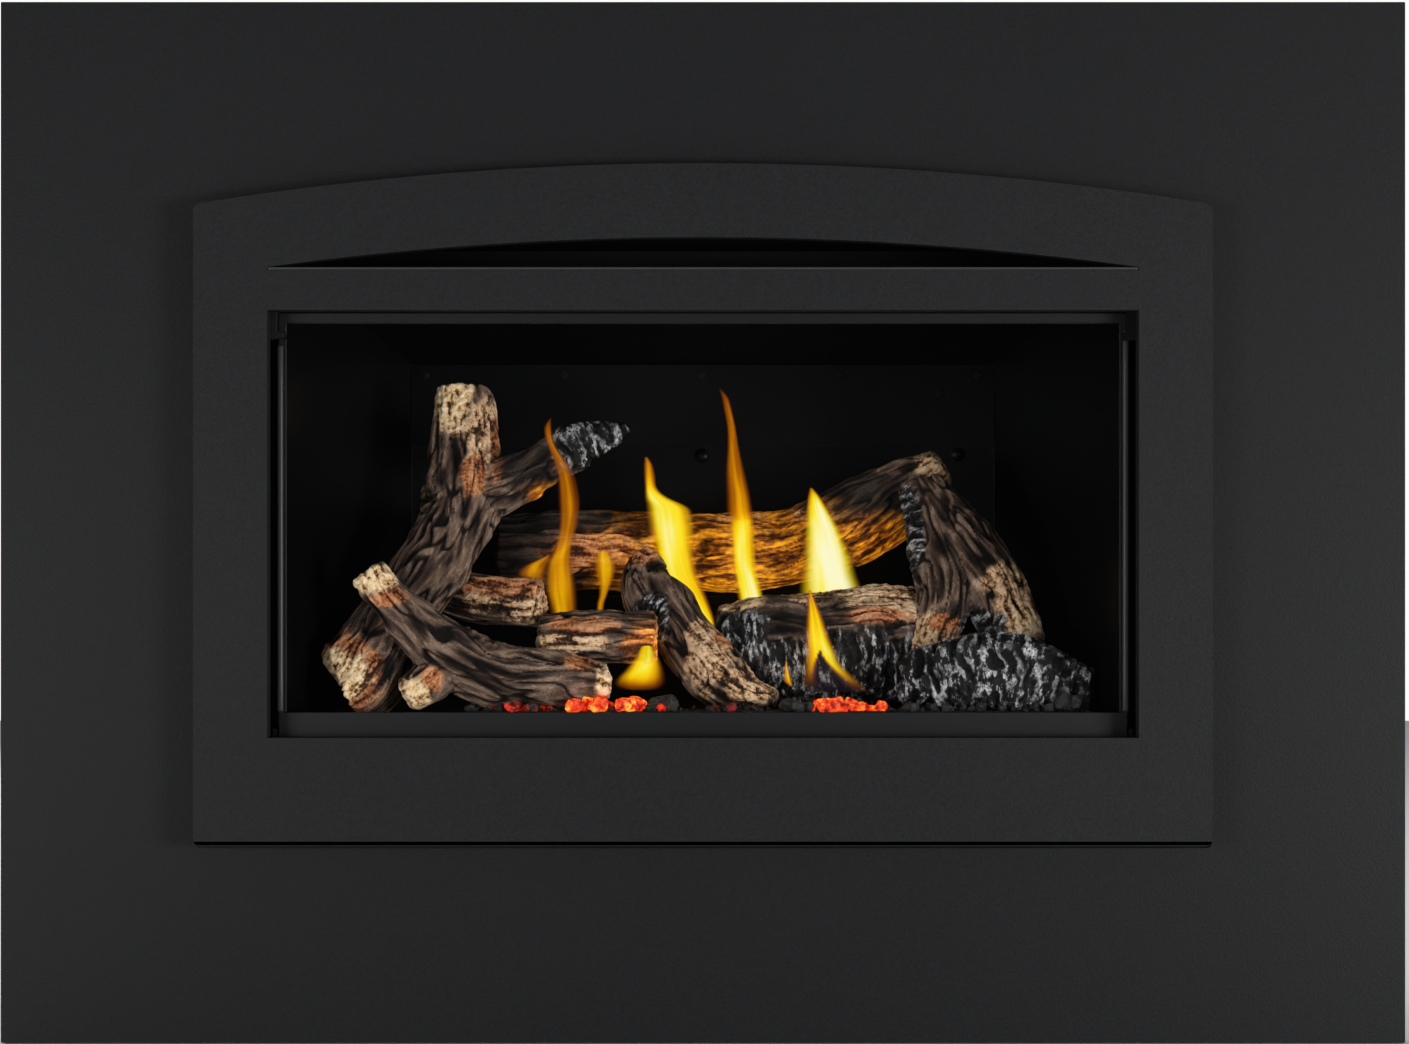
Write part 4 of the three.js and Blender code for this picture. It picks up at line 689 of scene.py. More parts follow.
def carve_log(name, spec):
    """A log in the place of its solid: its limbs' tubes made one skin, then carved by the bark."""
    cell = LOG_CELL
    limbs = [Limb(points, spec["seed"] + 0.7 * i, spec.get("tall", 1.0), spec.get("seat", 0.0))
             for i, points in enumerate(spec["limbs"])]
    vertices, faces = [], []
    for limb in limbs:
        rings = limb.surface()
        faces += shifted(grid_faces(*rings.shape[:2]), sum(map(len, vertices)))
        vertices.append(rings.reshape(-1, 3))
    piece = add_object(name + "_bark", to_metres(np.concatenate(vertices)), faces)
    remesh(piece, cell * MM)
    mesh = piece.data
    points = (read_rows(mesh.vertices, "co", 3) - to_metres((0, 0, 0))) / MM
    points = relax(points, read_rows(mesh.edges, "vertices", 2, np.int32), 3)
    write_points(mesh, to_metres(points))
    normals = read_rows(mesh.vertex_normals, "vector", 3)

    masks = patch_masks(points, spec["patches"])
    weights, heights, reliefs, grains = [], [], [], []
    for limb in limbs:
        distance, across, forward, share = limb.measure(points)
        bark, relief = bark_height(distance, across, forward, limb.seed)
        char = char_height(distance, across, forward, limb.seed)
        weights.append(np.exp(-9 * share))
        heights.append(bark + (char - bark) * masks["char"])
        reliefs.append(relief + (char - relief) * masks["char"])
        grains.append(np.stack([distance, across, forward], axis=1))
    weights = np.array(weights)
    nearest = weights.argmax(0)
    weights /= weights.sum(0)
    broken = 1.6 * fractal(points / 5.0, 3)
    pale = np.maximum(masks["end"], 0.6 * masks["tan"])
    height = (weights * heights).sum(0) * (1 - 0.6 * pale) + broken * pale
    relief = (weights * reliefs).sum(0) * (1 - 0.5 * pale) + broken * pale
    points = points + normals * height[:, None]
    points[:, 2] = np.maximum(points[:, 2], LOG_FOOT)
    write_points(mesh, to_metres(points))

    write_attribute(mesh, "relief", smooth_step(RELIEF_FROM, RELIEF_TO, relief))
    for kind in PATCH_KINDS:
        write_attribute(mesh, kind, masks[kind])
    write_attribute(mesh, "grain", np.array(grains)[nearest, np.arange(len(points))] * MM)
    shade_smooth(mesh)
    mesh.materials.append(FINISHES["fired_ceramic"])
    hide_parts(name)
    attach(piece, "root")


BARK_STOPS = [(0.18, (0.004, 0.003, 0.002)), (0.34, (0.020, 0.012, 0.009)), (0.46, (0.056, 0.033, 0.023)),
              (0.60, (0.100, 0.061, 0.042)), (0.80, (0.23, 0.15, 0.105))]
TAN_STOPS = [(0.22, (0.020, 0.010, 0.006)), (0.35, (0.095, 0.045, 0.022)), (0.47, (0.42, 0.228, 0.108)),
             (0.60, (0.77, 0.50, 0.285)), (0.82, (0.90, 0.69, 0.47))]
PALE_STOPS = [(0.20, (0.045, 0.022, 0.011)), (0.32, (0.23, 0.11, 0.045)), (0.44, (0.66, 0.42, 0.20)),
              (0.58, (0.90, 0.65, 0.37)), (0.80, (0.95, 0.80, 0.56))]
RUST_STOPS = [(0.25, (0.030, 0.010, 0.005)), (0.38, (0.14, 0.042, 0.016)), (0.50, (0.38, 0.125, 0.042)),
              (0.65, (0.58, 0.255, 0.115)), (0.85, (0.68, 0.39, 0.22))]
# The orange emission painted where the flames light the logs, stronger on the high relief: painted light.
PAINTED_FLAME_LIGHT_STOPS = [(0.38, (0.020, 0.005, 0.0)), (0.50, (0.18, 0.042, 0.002)), (0.60, (0.50, 0.145, 0.002)),
              (0.73, (0.98, 0.40, 0.004))]
CHAR_STOPS = [(0.3, 0.002), (0.8, 0.012)]
# the cream of the bark's streaks, which the relief keeps to the ridges: part cream paint, part painted
# highlight
CREAM_AND_HIGHLIGHT = (0.40, 0.285, 0.20)
# the pale silver of the char's ribs: part ash, part painted highlight
SILVER_ASH_AND_HIGHLIGHT = (0.60, 0.60, 0.595)
# the colour of the patches of painted shade, where the logs lie in deep shade
PAINTED_SHADE = (0.006, 0.005, 0.0045)
# the cream and the silver ash are painted only where the relief is high, as painted highlight
RAISED = [(0.42, 0.0), (0.66, 1.0)]         # reliefs that count as low and as high


def make_fired_ceramic():
    """Painted ceramic fibre: dark bark with pale ridges, and the painted ends, rust, char and ash; the relief
    paints shade into the cracks and highlight onto the ridges, and patches add painted shade and painted
    flame light.
    """
    material, shader = new_material("fired_ceramic")
    grain = add_node(material, "ShaderNodeAttribute", attribute_name="grain").outputs["Vector"]
    place = object_place(material)
    relief = attribute(material, "relief")
    fibre = stretched_noise(material, grain, (70, 360, 360), 5.0, 0.68)
    streak = stretched_noise(material, grain, (75, 300, 300), 4.0)
    blotch = stretched_noise(material, place, (60, 60, 60), 4.0)
    pits = stretched_noise(material, place, (420, 420, 420), 4.0, 0.68)
    ash_rib = stretched_noise(material, grain, (240, 100, 100), 4.0, 0.7)
    crackle = stretched_noise(material, grain, (120, 330, 330), 4.0, 0.7)
    raised = ramp(material, relief, RAISED)
    # bark: darker in its cracks, which is painted shade, with thin cream lines along its ridges, part cream
    # paint and part painted highlight
    level = weighted_sum(material, -0.32, (blotch, 0.30), (relief, 0.85), (fibre, 0.50))
    bark = ramp(material, level, BARK_STOPS)
    off_line = math_node(material, "ABSOLUTE", math_node(material, "SUBTRACT", streak, 0.5))
    thin = ramp(material, off_line, [(0.0, 1.0), (0.022, 0.0)])
    broad = ramp(material, streak, [(0.57, 0.0), (0.66, 0.8)])
    patchy = ramp(material, blotch, [(0.38, 0.35), (0.60, 1.0)])
    cream_and_highlight = product(material, math_node(material, "MAXIMUM", thin, broad), raised, patchy)
    colour = mix(material, cream_and_highlight, bark, CREAM_AND_HIGHLIGHT)
    # broken and worn wood, darker in its cracks by the relief as painted shade
    wear_and_crack_shade = weighted_sum(material, -0.72, (fibre, 0.75), (relief, 0.65), (pits, 1.05))
    for kind, stops in (("tan", TAN_STOPS), ("rust", RUST_STOPS), ("end", PALE_STOPS)):
        colour = mix(material, attribute(material, kind), colour, ramp(material, wear_and_crack_shade, stops))
    # patches of painted shade darken the logs where they lie in deep shade
    colour = mix(material, product(material, attribute(material, "painted_shade"), 0.78), colour, PAINTED_SHADE)
    # char with silver ash on its raised ribs, part ash and part painted highlight, and darker in its cracks
    # as painted shade
    ash_and_highlight = product(material, ramp(material, ash_rib, [(0.49, 0.0), (0.56, 1.0)]), raised,
                  ramp(material, blotch, [(0.38, 0.2), (0.56, 1.0)]),
                  ramp(material, pits, [(0.40, 0.25), (0.55, 1.0)]))
    charred = attribute(material, "char")
    char = mix(material, ash_and_highlight, ramp(material, level, CHAR_STOPS), SILVER_ASH_AND_HIGHLIGHT)
    # orange emission where the flames light the logs: painted light from the flames
    lit = weighted_sum(material, -0.04, (relief, 0.35), (crackle, 0.85))
    painted_flame_light = ramp(material, lit, PAINTED_FLAME_LIGHT_STOPS)
    set_inputs(material, shader, {
        "Base Color": mix(material, charred, colour, char),
        "Emission Color": mix(material, attribute(material, "painted_flame_light"), (0, 0, 0), painted_flame_light),
        "Emission Strength": 1.0,
        "Roughness": mix(material, charred, (0.85, 0.85, 0.85), (0.38, 0.38, 0.38)),
        "Specular IOR Level": 0.16})
    bump(material, shader, weighted_sum(material, fibre, (pits, 0.8)), 1.7 * MM)
    return material


FINISHES["fired_ceramic"] = make_fired_ceramic()
for log_name, log_spec in LOGS.items():
    carve_log(log_name, log_spec)


# ---------------------------------------------------------------- ember bed

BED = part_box("ember_bed")
BED_TOP = DECK_TOP + GAP + 3.2 * MM
CHUNK_EDGE = 0.55                   # 1 is a ball, near 0 a block
FINE_CHUNK = 2.5                    # chunks under this size lie over more of the bed's depth
BED_EDGE, FINE_SPREAD, COARSE_SPREAD = 4, 30, 16    # depths of the bed that hold chunks
# Stretches of the bed that hold chunks: x from, x to, how many, size, heat; all sizes in millimetres.
GLOWING = [(-144, -112, 11, 3.6, 0.40), (-98, -42, 20, 5.4, 0.95), (-34, -25, 3, 3.4, 0.55),
           (74, 136, 22, 4.6, 0.85), (-176, -150, 4, 2.8, 0.15), (4, 22, 3, 2.8, 0.25)]
COOL = [(-176, 284, 230, 1.9, 0.0), (-40, -20, 7, 6.4, 0.0), (58, 82, 7, 4.8, 0.0),
        (262, 286, 7, 6.4, 0.0), (-172, -120, 8, 3.4, 0.0), (150, 262, 16, 3.6, 0.0)]


def signed_power(value, power):
    return np.sign(value) * np.abs(value) ** power


def chunk_grid(rows, columns):
    """Unit chunk: a superellipsoid, the sine and cosine of a ball's two angles raised to a power."""
    height = np.linspace(-np.pi / 2, np.pi / 2, rows)[:, None]
    turn = full_turn(columns)[None, :]
    reach = signed_power(np.cos(height), CHUNK_EDGE)
    return np.stack([reach * signed_power(np.cos(turn), CHUNK_EDGE),
                     reach * signed_power(np.sin(turn), CHUNK_EDGE),
                     signed_power(np.sin(height), CHUNK_EDGE) + 0 * turn], axis=2)


def turn_matrix(angles):
    """Three turns, about X, Y and Z, multiplied together."""
    matrix = np.eye(3)
    for axis, angle in enumerate(angles):
        spin = np.eye(3)
        a, b = (axis + 1) % 3, (axis + 2) % 3
        spin[a, a] = spin[b, b] = math.cos(angle)
        spin[a, b], spin[b, a] = -math.sin(angle), math.sin(angle)
        matrix = spin @ matrix
    return matrix


def scatter_chunks(name, stretches, rows, columns):
    """Broken chunks dropped along the bed; each has its own size, turn and heat."""
    draw = np.random.default_rng(SEED)
    unit = chunk_grid(rows, columns).reshape(-1, 3)
    pattern = grid_faces(rows, columns)
    vertices, faces, heats = [], [], []
    for start, end, count, size, heat in stretches:
        spread = FINE_SPREAD if size < FINE_CHUNK else COARSE_SPREAD
        for _ in range(count):
            radius = size * draw.uniform(0.65, 1.25)
            shape = draw.uniform(0.6, 1.15, 3) * radius * (1.1, 0.9, 0.85)
            turned = (unit * shape) @ turn_matrix(draw.uniform(-0.5, 0.5, 3) * (1, 1, 6)).T
            turned *= (1 + 0.22 * noise(unit * 1.7 + draw.uniform(0, 90)))[:, None]
            x = draw.uniform(start, end) * MM
            y = BED[0][1] + (BED_EDGE + draw.uniform(0.0, 1.0) * spread) * MM
            place = np.array([x, y, BED_TOP - turned[:, 2].min() * MM * 0.75 - 0.6 * MM])
            faces += shifted(pattern, len(vertices) * len(unit))
            vertices.append(turned * MM + place)
            heats.append(np.full(len(unit), heat * draw.uniform(0.55, 1.1)))
    piece = add_object(name, np.concatenate(vertices), faces, FINISHES["ember"])
    write_attribute(piece.data, "warmth", np.concatenate(heats))
    return piece


BED_COLUMNS, BED_ROWS = 460, 42


def make_bed(name):
    """The loose bed: a grid whose height is grains of noise, with its rim brought down to the deck."""
    x, y = np.meshgrid(np.linspace(BED[0][0], BED[1][0], BED_COLUMNS),
                       np.linspace(BED[0][1], BED[1][1], BED_ROWS))
    flat = np.stack([x, y, 0 * x], axis=2).reshape(-1, 3) / MM
    grains = 1 - np.abs(noise(flat / 2.4)) * 2 + 0.5 * noise(flat / 1.1) + 0.8 * noise(flat / 9.0)
    rim = np.minimum.reduce([x - BED[0][0], BED[1][0] - x, y - BED[0][1], BED[1][1] - y]) / MM
    height = smooth_step(0.0, 5.0, rim).ravel() * (2.2 + 0.7 * grains)
    top = np.column_stack([flat[:, :2] * MM, DECK_TOP + GAP + np.maximum(height, 0.05) * MM])
    low = top.copy()
    low[:, 2] = DECK_TOP + GAP
    index = np.arange(BED_ROWS * BED_COLUMNS).reshape(BED_ROWS, BED_COLUMNS)
    quads = np.stack([index[:-1, :-1], index[:-1, 1:], index[1:, 1:], index[1:, :-1]], axis=2)
    border = np.concatenate([index[0, :], index[1:, -1], index[-1, -2::-1], index[-2:0:-1, 0]])
    beside, under = np.roll(border, -1), border + index.size
    skirt = np.stack([border, beside, beside + index.size, under], axis=1)
    faces = quads.reshape(-1, 4).tolist() + skirt.tolist() + [under.tolist()]
    piece = add_object(name, np.concatenate([top, low]), faces, FINISHES["ember"])
    write_attribute(piece.data, "warmth", np.zeros(2 * index.size))
    return piece


EMBER_STOPS = [(0.08, (0.0, 0.0, 0.0)), (0.26, (0.22, 0.003, 0.0)), (0.50, (0.80, 0.020, 0.001)),
               (0.76, (1.0, 0.11, 0.004)), (1.0, (1.0, 0.48, 0.05))]
COAL_STOPS = [(0.3, (0.006, 0.006, 0.007)), (0.75, (0.040, 0.038, 0.036))]
ROCK_WOOL = (0.42, 0.26, 0.07)              # the tawny flakes among the coals


def make_ember():
    """Coal that is black when cool; its heat glows red, orange and yellow in patches."""
    material, shader = new_material("glowing_ember")
    patch = object_noise(material, 190.0, detail=3.0, roughness=0.6)
    grit = object_noise(material, 1500.0, detail=2.0)
    level = product(material, attribute(material, "warmth"),
                    ramp(material, patch, [(0.34, 0.30), (0.64, 1.20)]))
    flake = ramp(material, grit, [(0.66, 0.0), (0.70, 1.0)])
    set_inputs(material, shader, {
        "Emission Color": ramp(material, level, EMBER_STOPS), "Emission Strength": 1.0,
        "Base Color": mix(material, flake, ramp(material, patch, COAL_STOPS), ROCK_WOOL),
        "Roughness": ramp(material, grit, [(0.3, 0.75), (0.7, 0.45)]), "Specular IOR Level": 0.3})
    bump(material, shader, grit, 0.5 * MM)
    return material


FINISHES["ember"] = make_ember()


def make_embers():
    """The bed's grains, the glowing chunks and the cool ones, all in the place of the plain bed."""
    bed = make_bed("ember_bed_grains")
    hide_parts("ember_bed")
    pieces = [bed, scatter_chunks("glowing_chunks", GLOWING, 11, 14),
              scatter_chunks("cool_chunks", COOL, 6, 8)]
    for piece in pieces:
        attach(piece, "root")

make_embers()

# ---------------------------------------------------------------- flames

# Each flame stands at a depth behind the deck's front edge (mm). Its rows run from tip to foot:
# [photo row, left column, right column, heat, bright streak's place from -1 to 1, cover, hollow share];
# a row that ends at its cover has no hollow.
FLAMES = {
    "flame_left": dict(depth=100, rows=[
        [417, 550, 552, 0.12, 0, 0.0], [427, 543, 553, 0.22, 0, 0.42], [438, 544, 554, 0.28, 0, 0.55],
        [448, 547, 558, 0.30, 0, 0.50], [459, 550, 567, 0.32, 0, 0.42], [469, 553, 574, 0.33, 0, 0.42],
        [480, 555, 578, 0.34, 0.1, 0.50], [501, 556, 582, 0.35, 0.3, 0.55],
        [522, 557, 580, 0.38, 0.3, 0.60], [543, 554, 575, 0.46, 0.3, 0.62],
        [564, 545, 575, 0.52, -0.5, 0.62], [585, 543, 578, 0.56, -0.7, 0.60],
        [606, 547, 579, 0.52, -0.6, 0.55], [630, 552, 579, 0.45, -0.5, 0.4]]),
    "flame_left_lobe": dict(depth=99, rows=[
        [554, 549, 551, 0.30, 0, 0.1], [558, 540, 552, 0.38, 0, 0.35], [564, 525, 551, 0.42, 0, 0.5],
        [570, 517, 550, 0.44, 0.3, 0.52], [576, 516, 549, 0.40, 0.4, 0.4],
        [581, 534, 548, 0.35, 0.4, 0.2]]),
    "flame_small": dict(depth=106, rows=[
        [549, 602, 606, 0.40, 0, 0.15], [554, 594, 613, 0.52, 0, 0.45], [564, 592, 618, 0.56, -0.2, 0.5],
        [575, 594, 617, 0.55, -0.3, 0.5], [585, 597, 613, 0.50, -0.3, 0.45], [596, 598, 608, 0.48, 0, 0.45],
        [606, 596, 605, 0.46, 0, 0.45], [630, 596, 604, 0.40, 0, 0.4]]),
    "flame_broad": dict(depth=128, rows=[
        [457, 644, 648, 0.30, 0, 0.3], [464, 643, 653, 0.40, 0, 0.55], [475, 643, 656, 0.46, 0, 0.62],
        [486, 644, 657, 0.60, 0.1, 0.75], [493, 644, 662, 0.74, 0, 0.82], [499, 644, 672, 0.80, -0.3, 0.85],
        [504, 645, 684, 0.82, -0.5, 0.86], [509, 645, 692, 0.82, -0.6, 0.88],
        [517, 645, 695, 0.82, -0.6, 0.88], [533, 647, 697, 0.82, -0.5, 0.88],
        [554, 652, 697, 0.80, -0.4, 0.88], [575, 661, 700, 0.78, -0.5, 0.86],
        [596, 678, 708, 0.74, -0.2, 0.84], [617, 694, 715, 0.72, 0, 0.82], [633, 708, 717, 0.68, 0, 0.8],
        [650, 716, 721, 0.6, 0, 0.7]]),
    "flame_tall": dict(depth=125, rows=[
        [389, 718, 722, 0.10, 0, 0.05], [398, 720, 730, 0.18, 0, 0.40], [408, 722, 733, 0.24, 0, 0.52],
        [427, 726, 737, 0.30, 0, 0.62], [448, 726, 741, 0.33, 0, 0.66], [469, 724, 746, 0.37, 0, 0.70],
        [490, 724, 751, 0.41, 0, 0.74], [510, 725, 754, 0.46, 0, 0.78], [518, 726, 756, 0.54, 0, 0.82],
        [524, 727, 756, 0.70, 0, 0.86], [543, 729, 757, 0.76, 0, 0.88], [564, 730, 758, 0.80, 0.1, 0.88],
        [585, 734, 762, 0.86, 0.2, 0.90], [604, 738, 766, 0.92, 0.2, 0.90],
        [626, 742, 768, 0.90, 0.2, 0.9]]),
    "flame_pale": dict(depth=125, rows=[
        [488, 809, 813, 0.40, 0, 0.2], [495, 807, 820, 0.62, 0, 0.6], [502, 806, 825, 0.76, 0, 0.8],
        [510, 805, 830, 0.84, 0.1, 0.88], [521, 804, 837, 0.90, 0.2, 0.90],
        [532, 803, 843, 0.93, 0.3, 0.92], [553, 801, 852, 0.96, 0.4, 0.92],
        [575, 799, 858, 0.97, 0.4, 0.92], [586, 798, 862, 0.97, 0.4, 0.92],
        [606, 797, 866, 0.94, 0.4, 0.9]]),
    "flame_front": dict(depth=46, rows=[
        [590, 808, 812, 0.36, 0, 0.3], [597, 807, 815, 0.48, 0, 0.6], [608, 806, 820, 0.58, 0, 0.75],
        [618, 805, 824, 0.64, 0.1, 0.80], [640, 803, 832, 0.72, 0.2, 0.84],
        [651, 803, 837, 0.74, 0.4, 0.84, 0.05], [662, 802, 842, 0.73, 0.6, 0.82, 0.35],
        [673, 801, 852, 0.70, 0.75, 0.78, 0.58], [684, 800, 864, 0.60, 0.85, 0.70, 0.76],
        [692, 801, 872, 0.42, 0.9, 0.45, 0.92]]),
    "flame_spark": dict(depth=50, rows=[
        [660, 785, 787, 0.40, 0, 0.3], [668, 784, 789, 0.52, 0, 0.6], [675, 783, 791, 0.56, 0, 0.62],
        [681, 783, 793, 0.50, 0, 0.55], [686, 788, 794, 0.40, 0, 0.2]]),
    "flame_low": dict(depth=57, rows=[
        [634, 644, 647, 0.50, 0, 0.3], [641, 642, 650, 0.66, 0, 0.7], [648, 638, 656, 0.74, 0, 0.82],
        [659, 632, 661, 0.78, 0, 0.86], [669, 624, 665, 0.76, -0.2, 0.84],
        [677, 616, 667, 0.68, -0.5, 0.76], [684, 612, 668, 0.46, -0.6, 0.5],
        [690, 616, 666, 0.16, 0, 0.12]]),
}
FLAME_VALUES = 7                    # in a full row
FLAME_LEVELS, FLAME_SIDES = 90, 48
FLAME_THICKNESS = 0.42              # of its half width, front to back
FLAME_ROUND = 7 * MM                # most that a flame bellies out
FLAME_NARROWEST = 0.6 * MM
FLAME_SWAY = 2 * MM                 # how far a flame leans forward and back as it rises
RIPPLE_ROWS = 18.0                  # rows of the photograph to one unit of the ripples
STREAK_WIDTH = 0.38                 # of the half width


def photo_place(column, row, depth):
    """The point at a depth behind the surround's face that the photograph shows at a column and row."""
    spread = PIXEL * (1 + depth / CAMERA_DISTANCE)
    return (column - CENTRE_COLUMN) * spread, CAMERA_HEIGHT + (HORIZON_ROW - row) * spread


def make_flame_mesh(name, depth, rows):
    """A flattened tube: each level is an oval between its left and right edges, closed at tip and foot.

    Heat falls to the edges and rises on a streak that wanders; cover fades out at the edges.
    """
    rows = [values + [0] * (FLAME_VALUES - len(values)) for values in rows]
    row, left, right, heat, streak, cover, hollow = (
        column[:, None] for column in catmull_rom(rows, FLAME_LEVELS).T)
    angle = full_turn(FLAME_SIDES)[None, :]
    across = np.cos(angle) + 0 * row
    y = DECK[0][1] + depth * MM
    edge_left, z = photo_place(left, row, y - SURROUND_FRONT)
    edge_right, _ = photo_place(right, row, y - SURROUND_FRONT)
    half = np.maximum(edge_right - edge_left, FLAME_NARROWEST) / 2
    belly = np.minimum(half * FLAME_THICKNESS, FLAME_ROUND)
    x = (edge_left + edge_right) / 2 + half * across
    sway = FLAME_SWAY * np.sin(np.linspace(0, 1, FLAME_LEVELS)[:, None] * 7 + depth)
    points = np.stack(np.broadcast_arrays(x, y + sway + belly * np.sin(angle), z), axis=2).reshape(-1, 3)

    span = np.abs(row - row[0]) / RIPPLE_ROWS
    flow = np.stack(np.broadcast_arrays(across * 3.2, span * 0.42 + depth, 0.5 * np.sin(angle)), axis=2)
    ripple = fractal(flow.reshape(-1, 3) * (1.0, 0.55, 1.0), 3).reshape(across.shape)
    wander = streak + 0.25 * np.sin(span * 1.3 + depth)
    bright = np.exp(-((across - wander) / STREAK_WIDTH) ** 2)
    inner = smooth_step(hollow * 0.45, hollow * 1.15 + 0.01, np.abs(across + 0.04))
    void = (1 - inner) * (hollow > 0.01)
    warmth = heat + 0.10 * (bright - 0.4) + 0.13 * ripple - 0.44 * np.abs(across) ** 2.2 - 0.35 * void
    fade = (1 - smooth_step(0.30, 1.0, np.abs(across))) ** 1.15
    opacity = np.clip(cover * fade * (1 + 0.12 * ripple), 0, 0.94) * (1 - 0.84 * void)
    piece = add_object(name, points, grid_faces(FLAME_LEVELS, FLAME_SIDES), FINISHES["flame"])
    for label, values in (("warmth", warmth), ("cover", opacity), ("hollow", void)):
        write_attribute(piece.data, label, values.ravel())
    shade_smooth(piece.data)
    return piece


FLAME_STOPS = [(0.0, (0.05, 0.007, 0.0)), (0.18, (0.27, 0.060, 0.0005)), (0.34, (0.44, 0.125, 0.001)),
               (0.50, (0.80, 0.34, 0.002)), (0.64, (1.0, 0.62, 0.004)), (0.78, (1.0, 0.82, 0.03)),
               (0.90, (1.0, 0.92, 0.30)), (1.0, (1.0, 0.96, 0.62))]
HOLLOW_VIOLET = (0.040, 0.024, 0.040)


def make_flame_finish():
    """A flame gives light and no gloss: its colour follows its heat, and its hollow is dark violet."""
    material, shader = new_material("gas_flame")
    lick = object_noise(material, 55.0, detail=3.0, stretch=(1, 1, 0.25))
    level = weighted_sum(material, attribute(material, "warmth"),
                         (math_node(material, "SUBTRACT", lick, 0.5), 0.16))
    colour = ramp(material, level, FLAME_STOPS)
    set_inputs(material, shader, {
        "Emission Color": mix(material, attribute(material, "hollow"), colour, HOLLOW_VIOLET),
        "Emission Strength": 1.0, "Alpha": attribute(material, "cover"),
        "Base Color": (0, 0, 0, 1), "Specular IOR Level": 0.0, "Roughness": 1.0})
    return material


FINISHES["flame"] = make_flame_finish()


def make_flames():
    for name, spec in FLAMES.items():
        piece = make_flame_mesh(name, spec["depth"], spec["rows"])
        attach(piece, "root")


make_flames()

# ---------------------------------------------------------------- softened sheet edges


WELD = 0.01 * MM                    # vertices nearer than this are one
SHARP_ANGLE = math.radians(40)      # folds sharper than this are rounded over
FOLD_SEGMENTS, CORNER_SEGMENTS = 3, 6


def soften(node, body, slot, width, corner=0.0, finish=None):
    """A copy of a folded panel: its edges are rounded over, and its outer corners too if corner is set."""
    low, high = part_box(node)
    shaped = bmesh.new()
    shaped.from_mesh(frame["nodes"][node].data)
    bmesh.ops.remove_doubles(shaped, verts=shaped.verts, dist=WELD)
    if corner:
        reach = high[0] - 0.1 * MM
        outer = [edge for edge in shaped.edges
                 if all(abs(end.co.x) > reach for end in edge.verts)
                 and abs(edge.verts[0].co.z - edge.verts[1].co.z) < WELD]
        bmesh.ops.bevel(shaped, geom=outer, offset=corner, segments=CORNER_SEGMENTS, profile=0.5,
                        affect="EDGES")
    sharp = [edge for edge in shaped.edges
             if len(edge.link_faces) == 2 and edge.calc_face_angle(0) > SHARP_ANGLE]
    bmesh.ops.bevel(shaped, geom=sharp, offset=width, segments=FOLD_SEGMENTS, profile=0.5, affect="EDGES",
                    clamp_overlap=True)
    for vert in shaped.verts:
        vert.co = [min(max(vert.co[axis], low[axis]), high[axis]) for axis in range(3)]
    mesh = bpy.data.meshes.new(node + "_sheet")
    shaped.to_mesh(mesh)
    shaped.free()
    mesh.materials.append(FINISHES[finish or slot])
    piece = link_object(node + "_sheet", mesh)
    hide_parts(node)
    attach(piece, body)


soften("surround_plate", "root", "powder_coat", 0.8 * MM)
soften("faceplate", "faceplate", "powder_coat", 0.8 * MM, corner=4.5 * MM, finish="powder_coat_painted_lighter")
soften("door_frame", "door", "door_coat", 0.4 * MM)

BEAD_RADIUS = 2.1 * MM
BEAD_TOP = {-1: 352 * MM, 1: 363 * MM}      # each bead ends below its latch
BEAD_FOOT = 88 * MM
BEAD_INSET = 0.9 * MM                       # a bead's middle, in from the side channel's edge
HINGE_PIN_REACH = 7 * MM                    # the pins stand out this far past the side channels


def door_bead(name, side):
    """The rolled edge of a side channel: a half circle carried straight up, flatter at its two ends."""
    face, arc = DOOR[0][1], np.linspace(0, np.pi, 13)
    centre = side * (DOOR[1][0] - HINGE_PIN_REACH - BEAD_INSET)
    foot, top, end = BEAD_FOOT, BEAD_TOP[side], 2 * MM
    levels = np.concatenate([[foot], np.linspace(foot + end, top - end, 12), [top]])[:, None]
    proud = np.where((levels == foot) | (levels == top), 0.3, 1.0) * 0.7 * BEAD_RADIUS
    rings = np.stack(np.broadcast_arrays(
        centre + BEAD_RADIUS * np.cos(arc), face - proud * np.sin(arc), levels), axis=2)
    # the bead's coat is the door's coat painted lighter, as a painted highlight
    piece = add_object(name, rings.reshape(-1, 3), grid_faces(*rings.shape[:2]), FINISHES["door_bead"])
    shade_smooth(piece.data, 60)
    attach(piece, "door")


door_bead("door_bead_left", -1)
door_bead("door_bead_right", 1)


def plate_from_outline(name, outline, near, far, body, finish, edge):
    """A flat plate: an outline in X and Z carried from near to far in Y, its edges rounded."""
    count = len(outline)
    front = [(x, near, z) for x, z in outline]
    rear = [(x, far, z) for x, z in outline]
    walls = [(i, (i + 1) % count, (i + 1) % count + count, i + count) for i in range(count)]
    faces = [tuple(range(count)), tuple(range(2 * count - 1, count - 1, -1))] + walls
    piece = add_object(name, front + rear, faces, FINISHES[finish])
    bevel = piece.modifiers.new("rounded_edges", "BEVEL")
    bevel.width = edge
    bevel.segments = FOLD_SEGMENTS
    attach(piece, body)
    return piece


def centred_strip(half, low, high):
    """The outline of a rectangle across the object's middle."""
    return [(-half, low), (half, low), (half, high), (-half, high)]


LIP_HALF, LIP_FOOT, LIP_TOP = 310.8 * MM, 404.4 * MM, 406.3 * MM
LIP_NEAR, LIP_FAR = 0.4 * MM, 6 * MM        # behind the faceplate's front


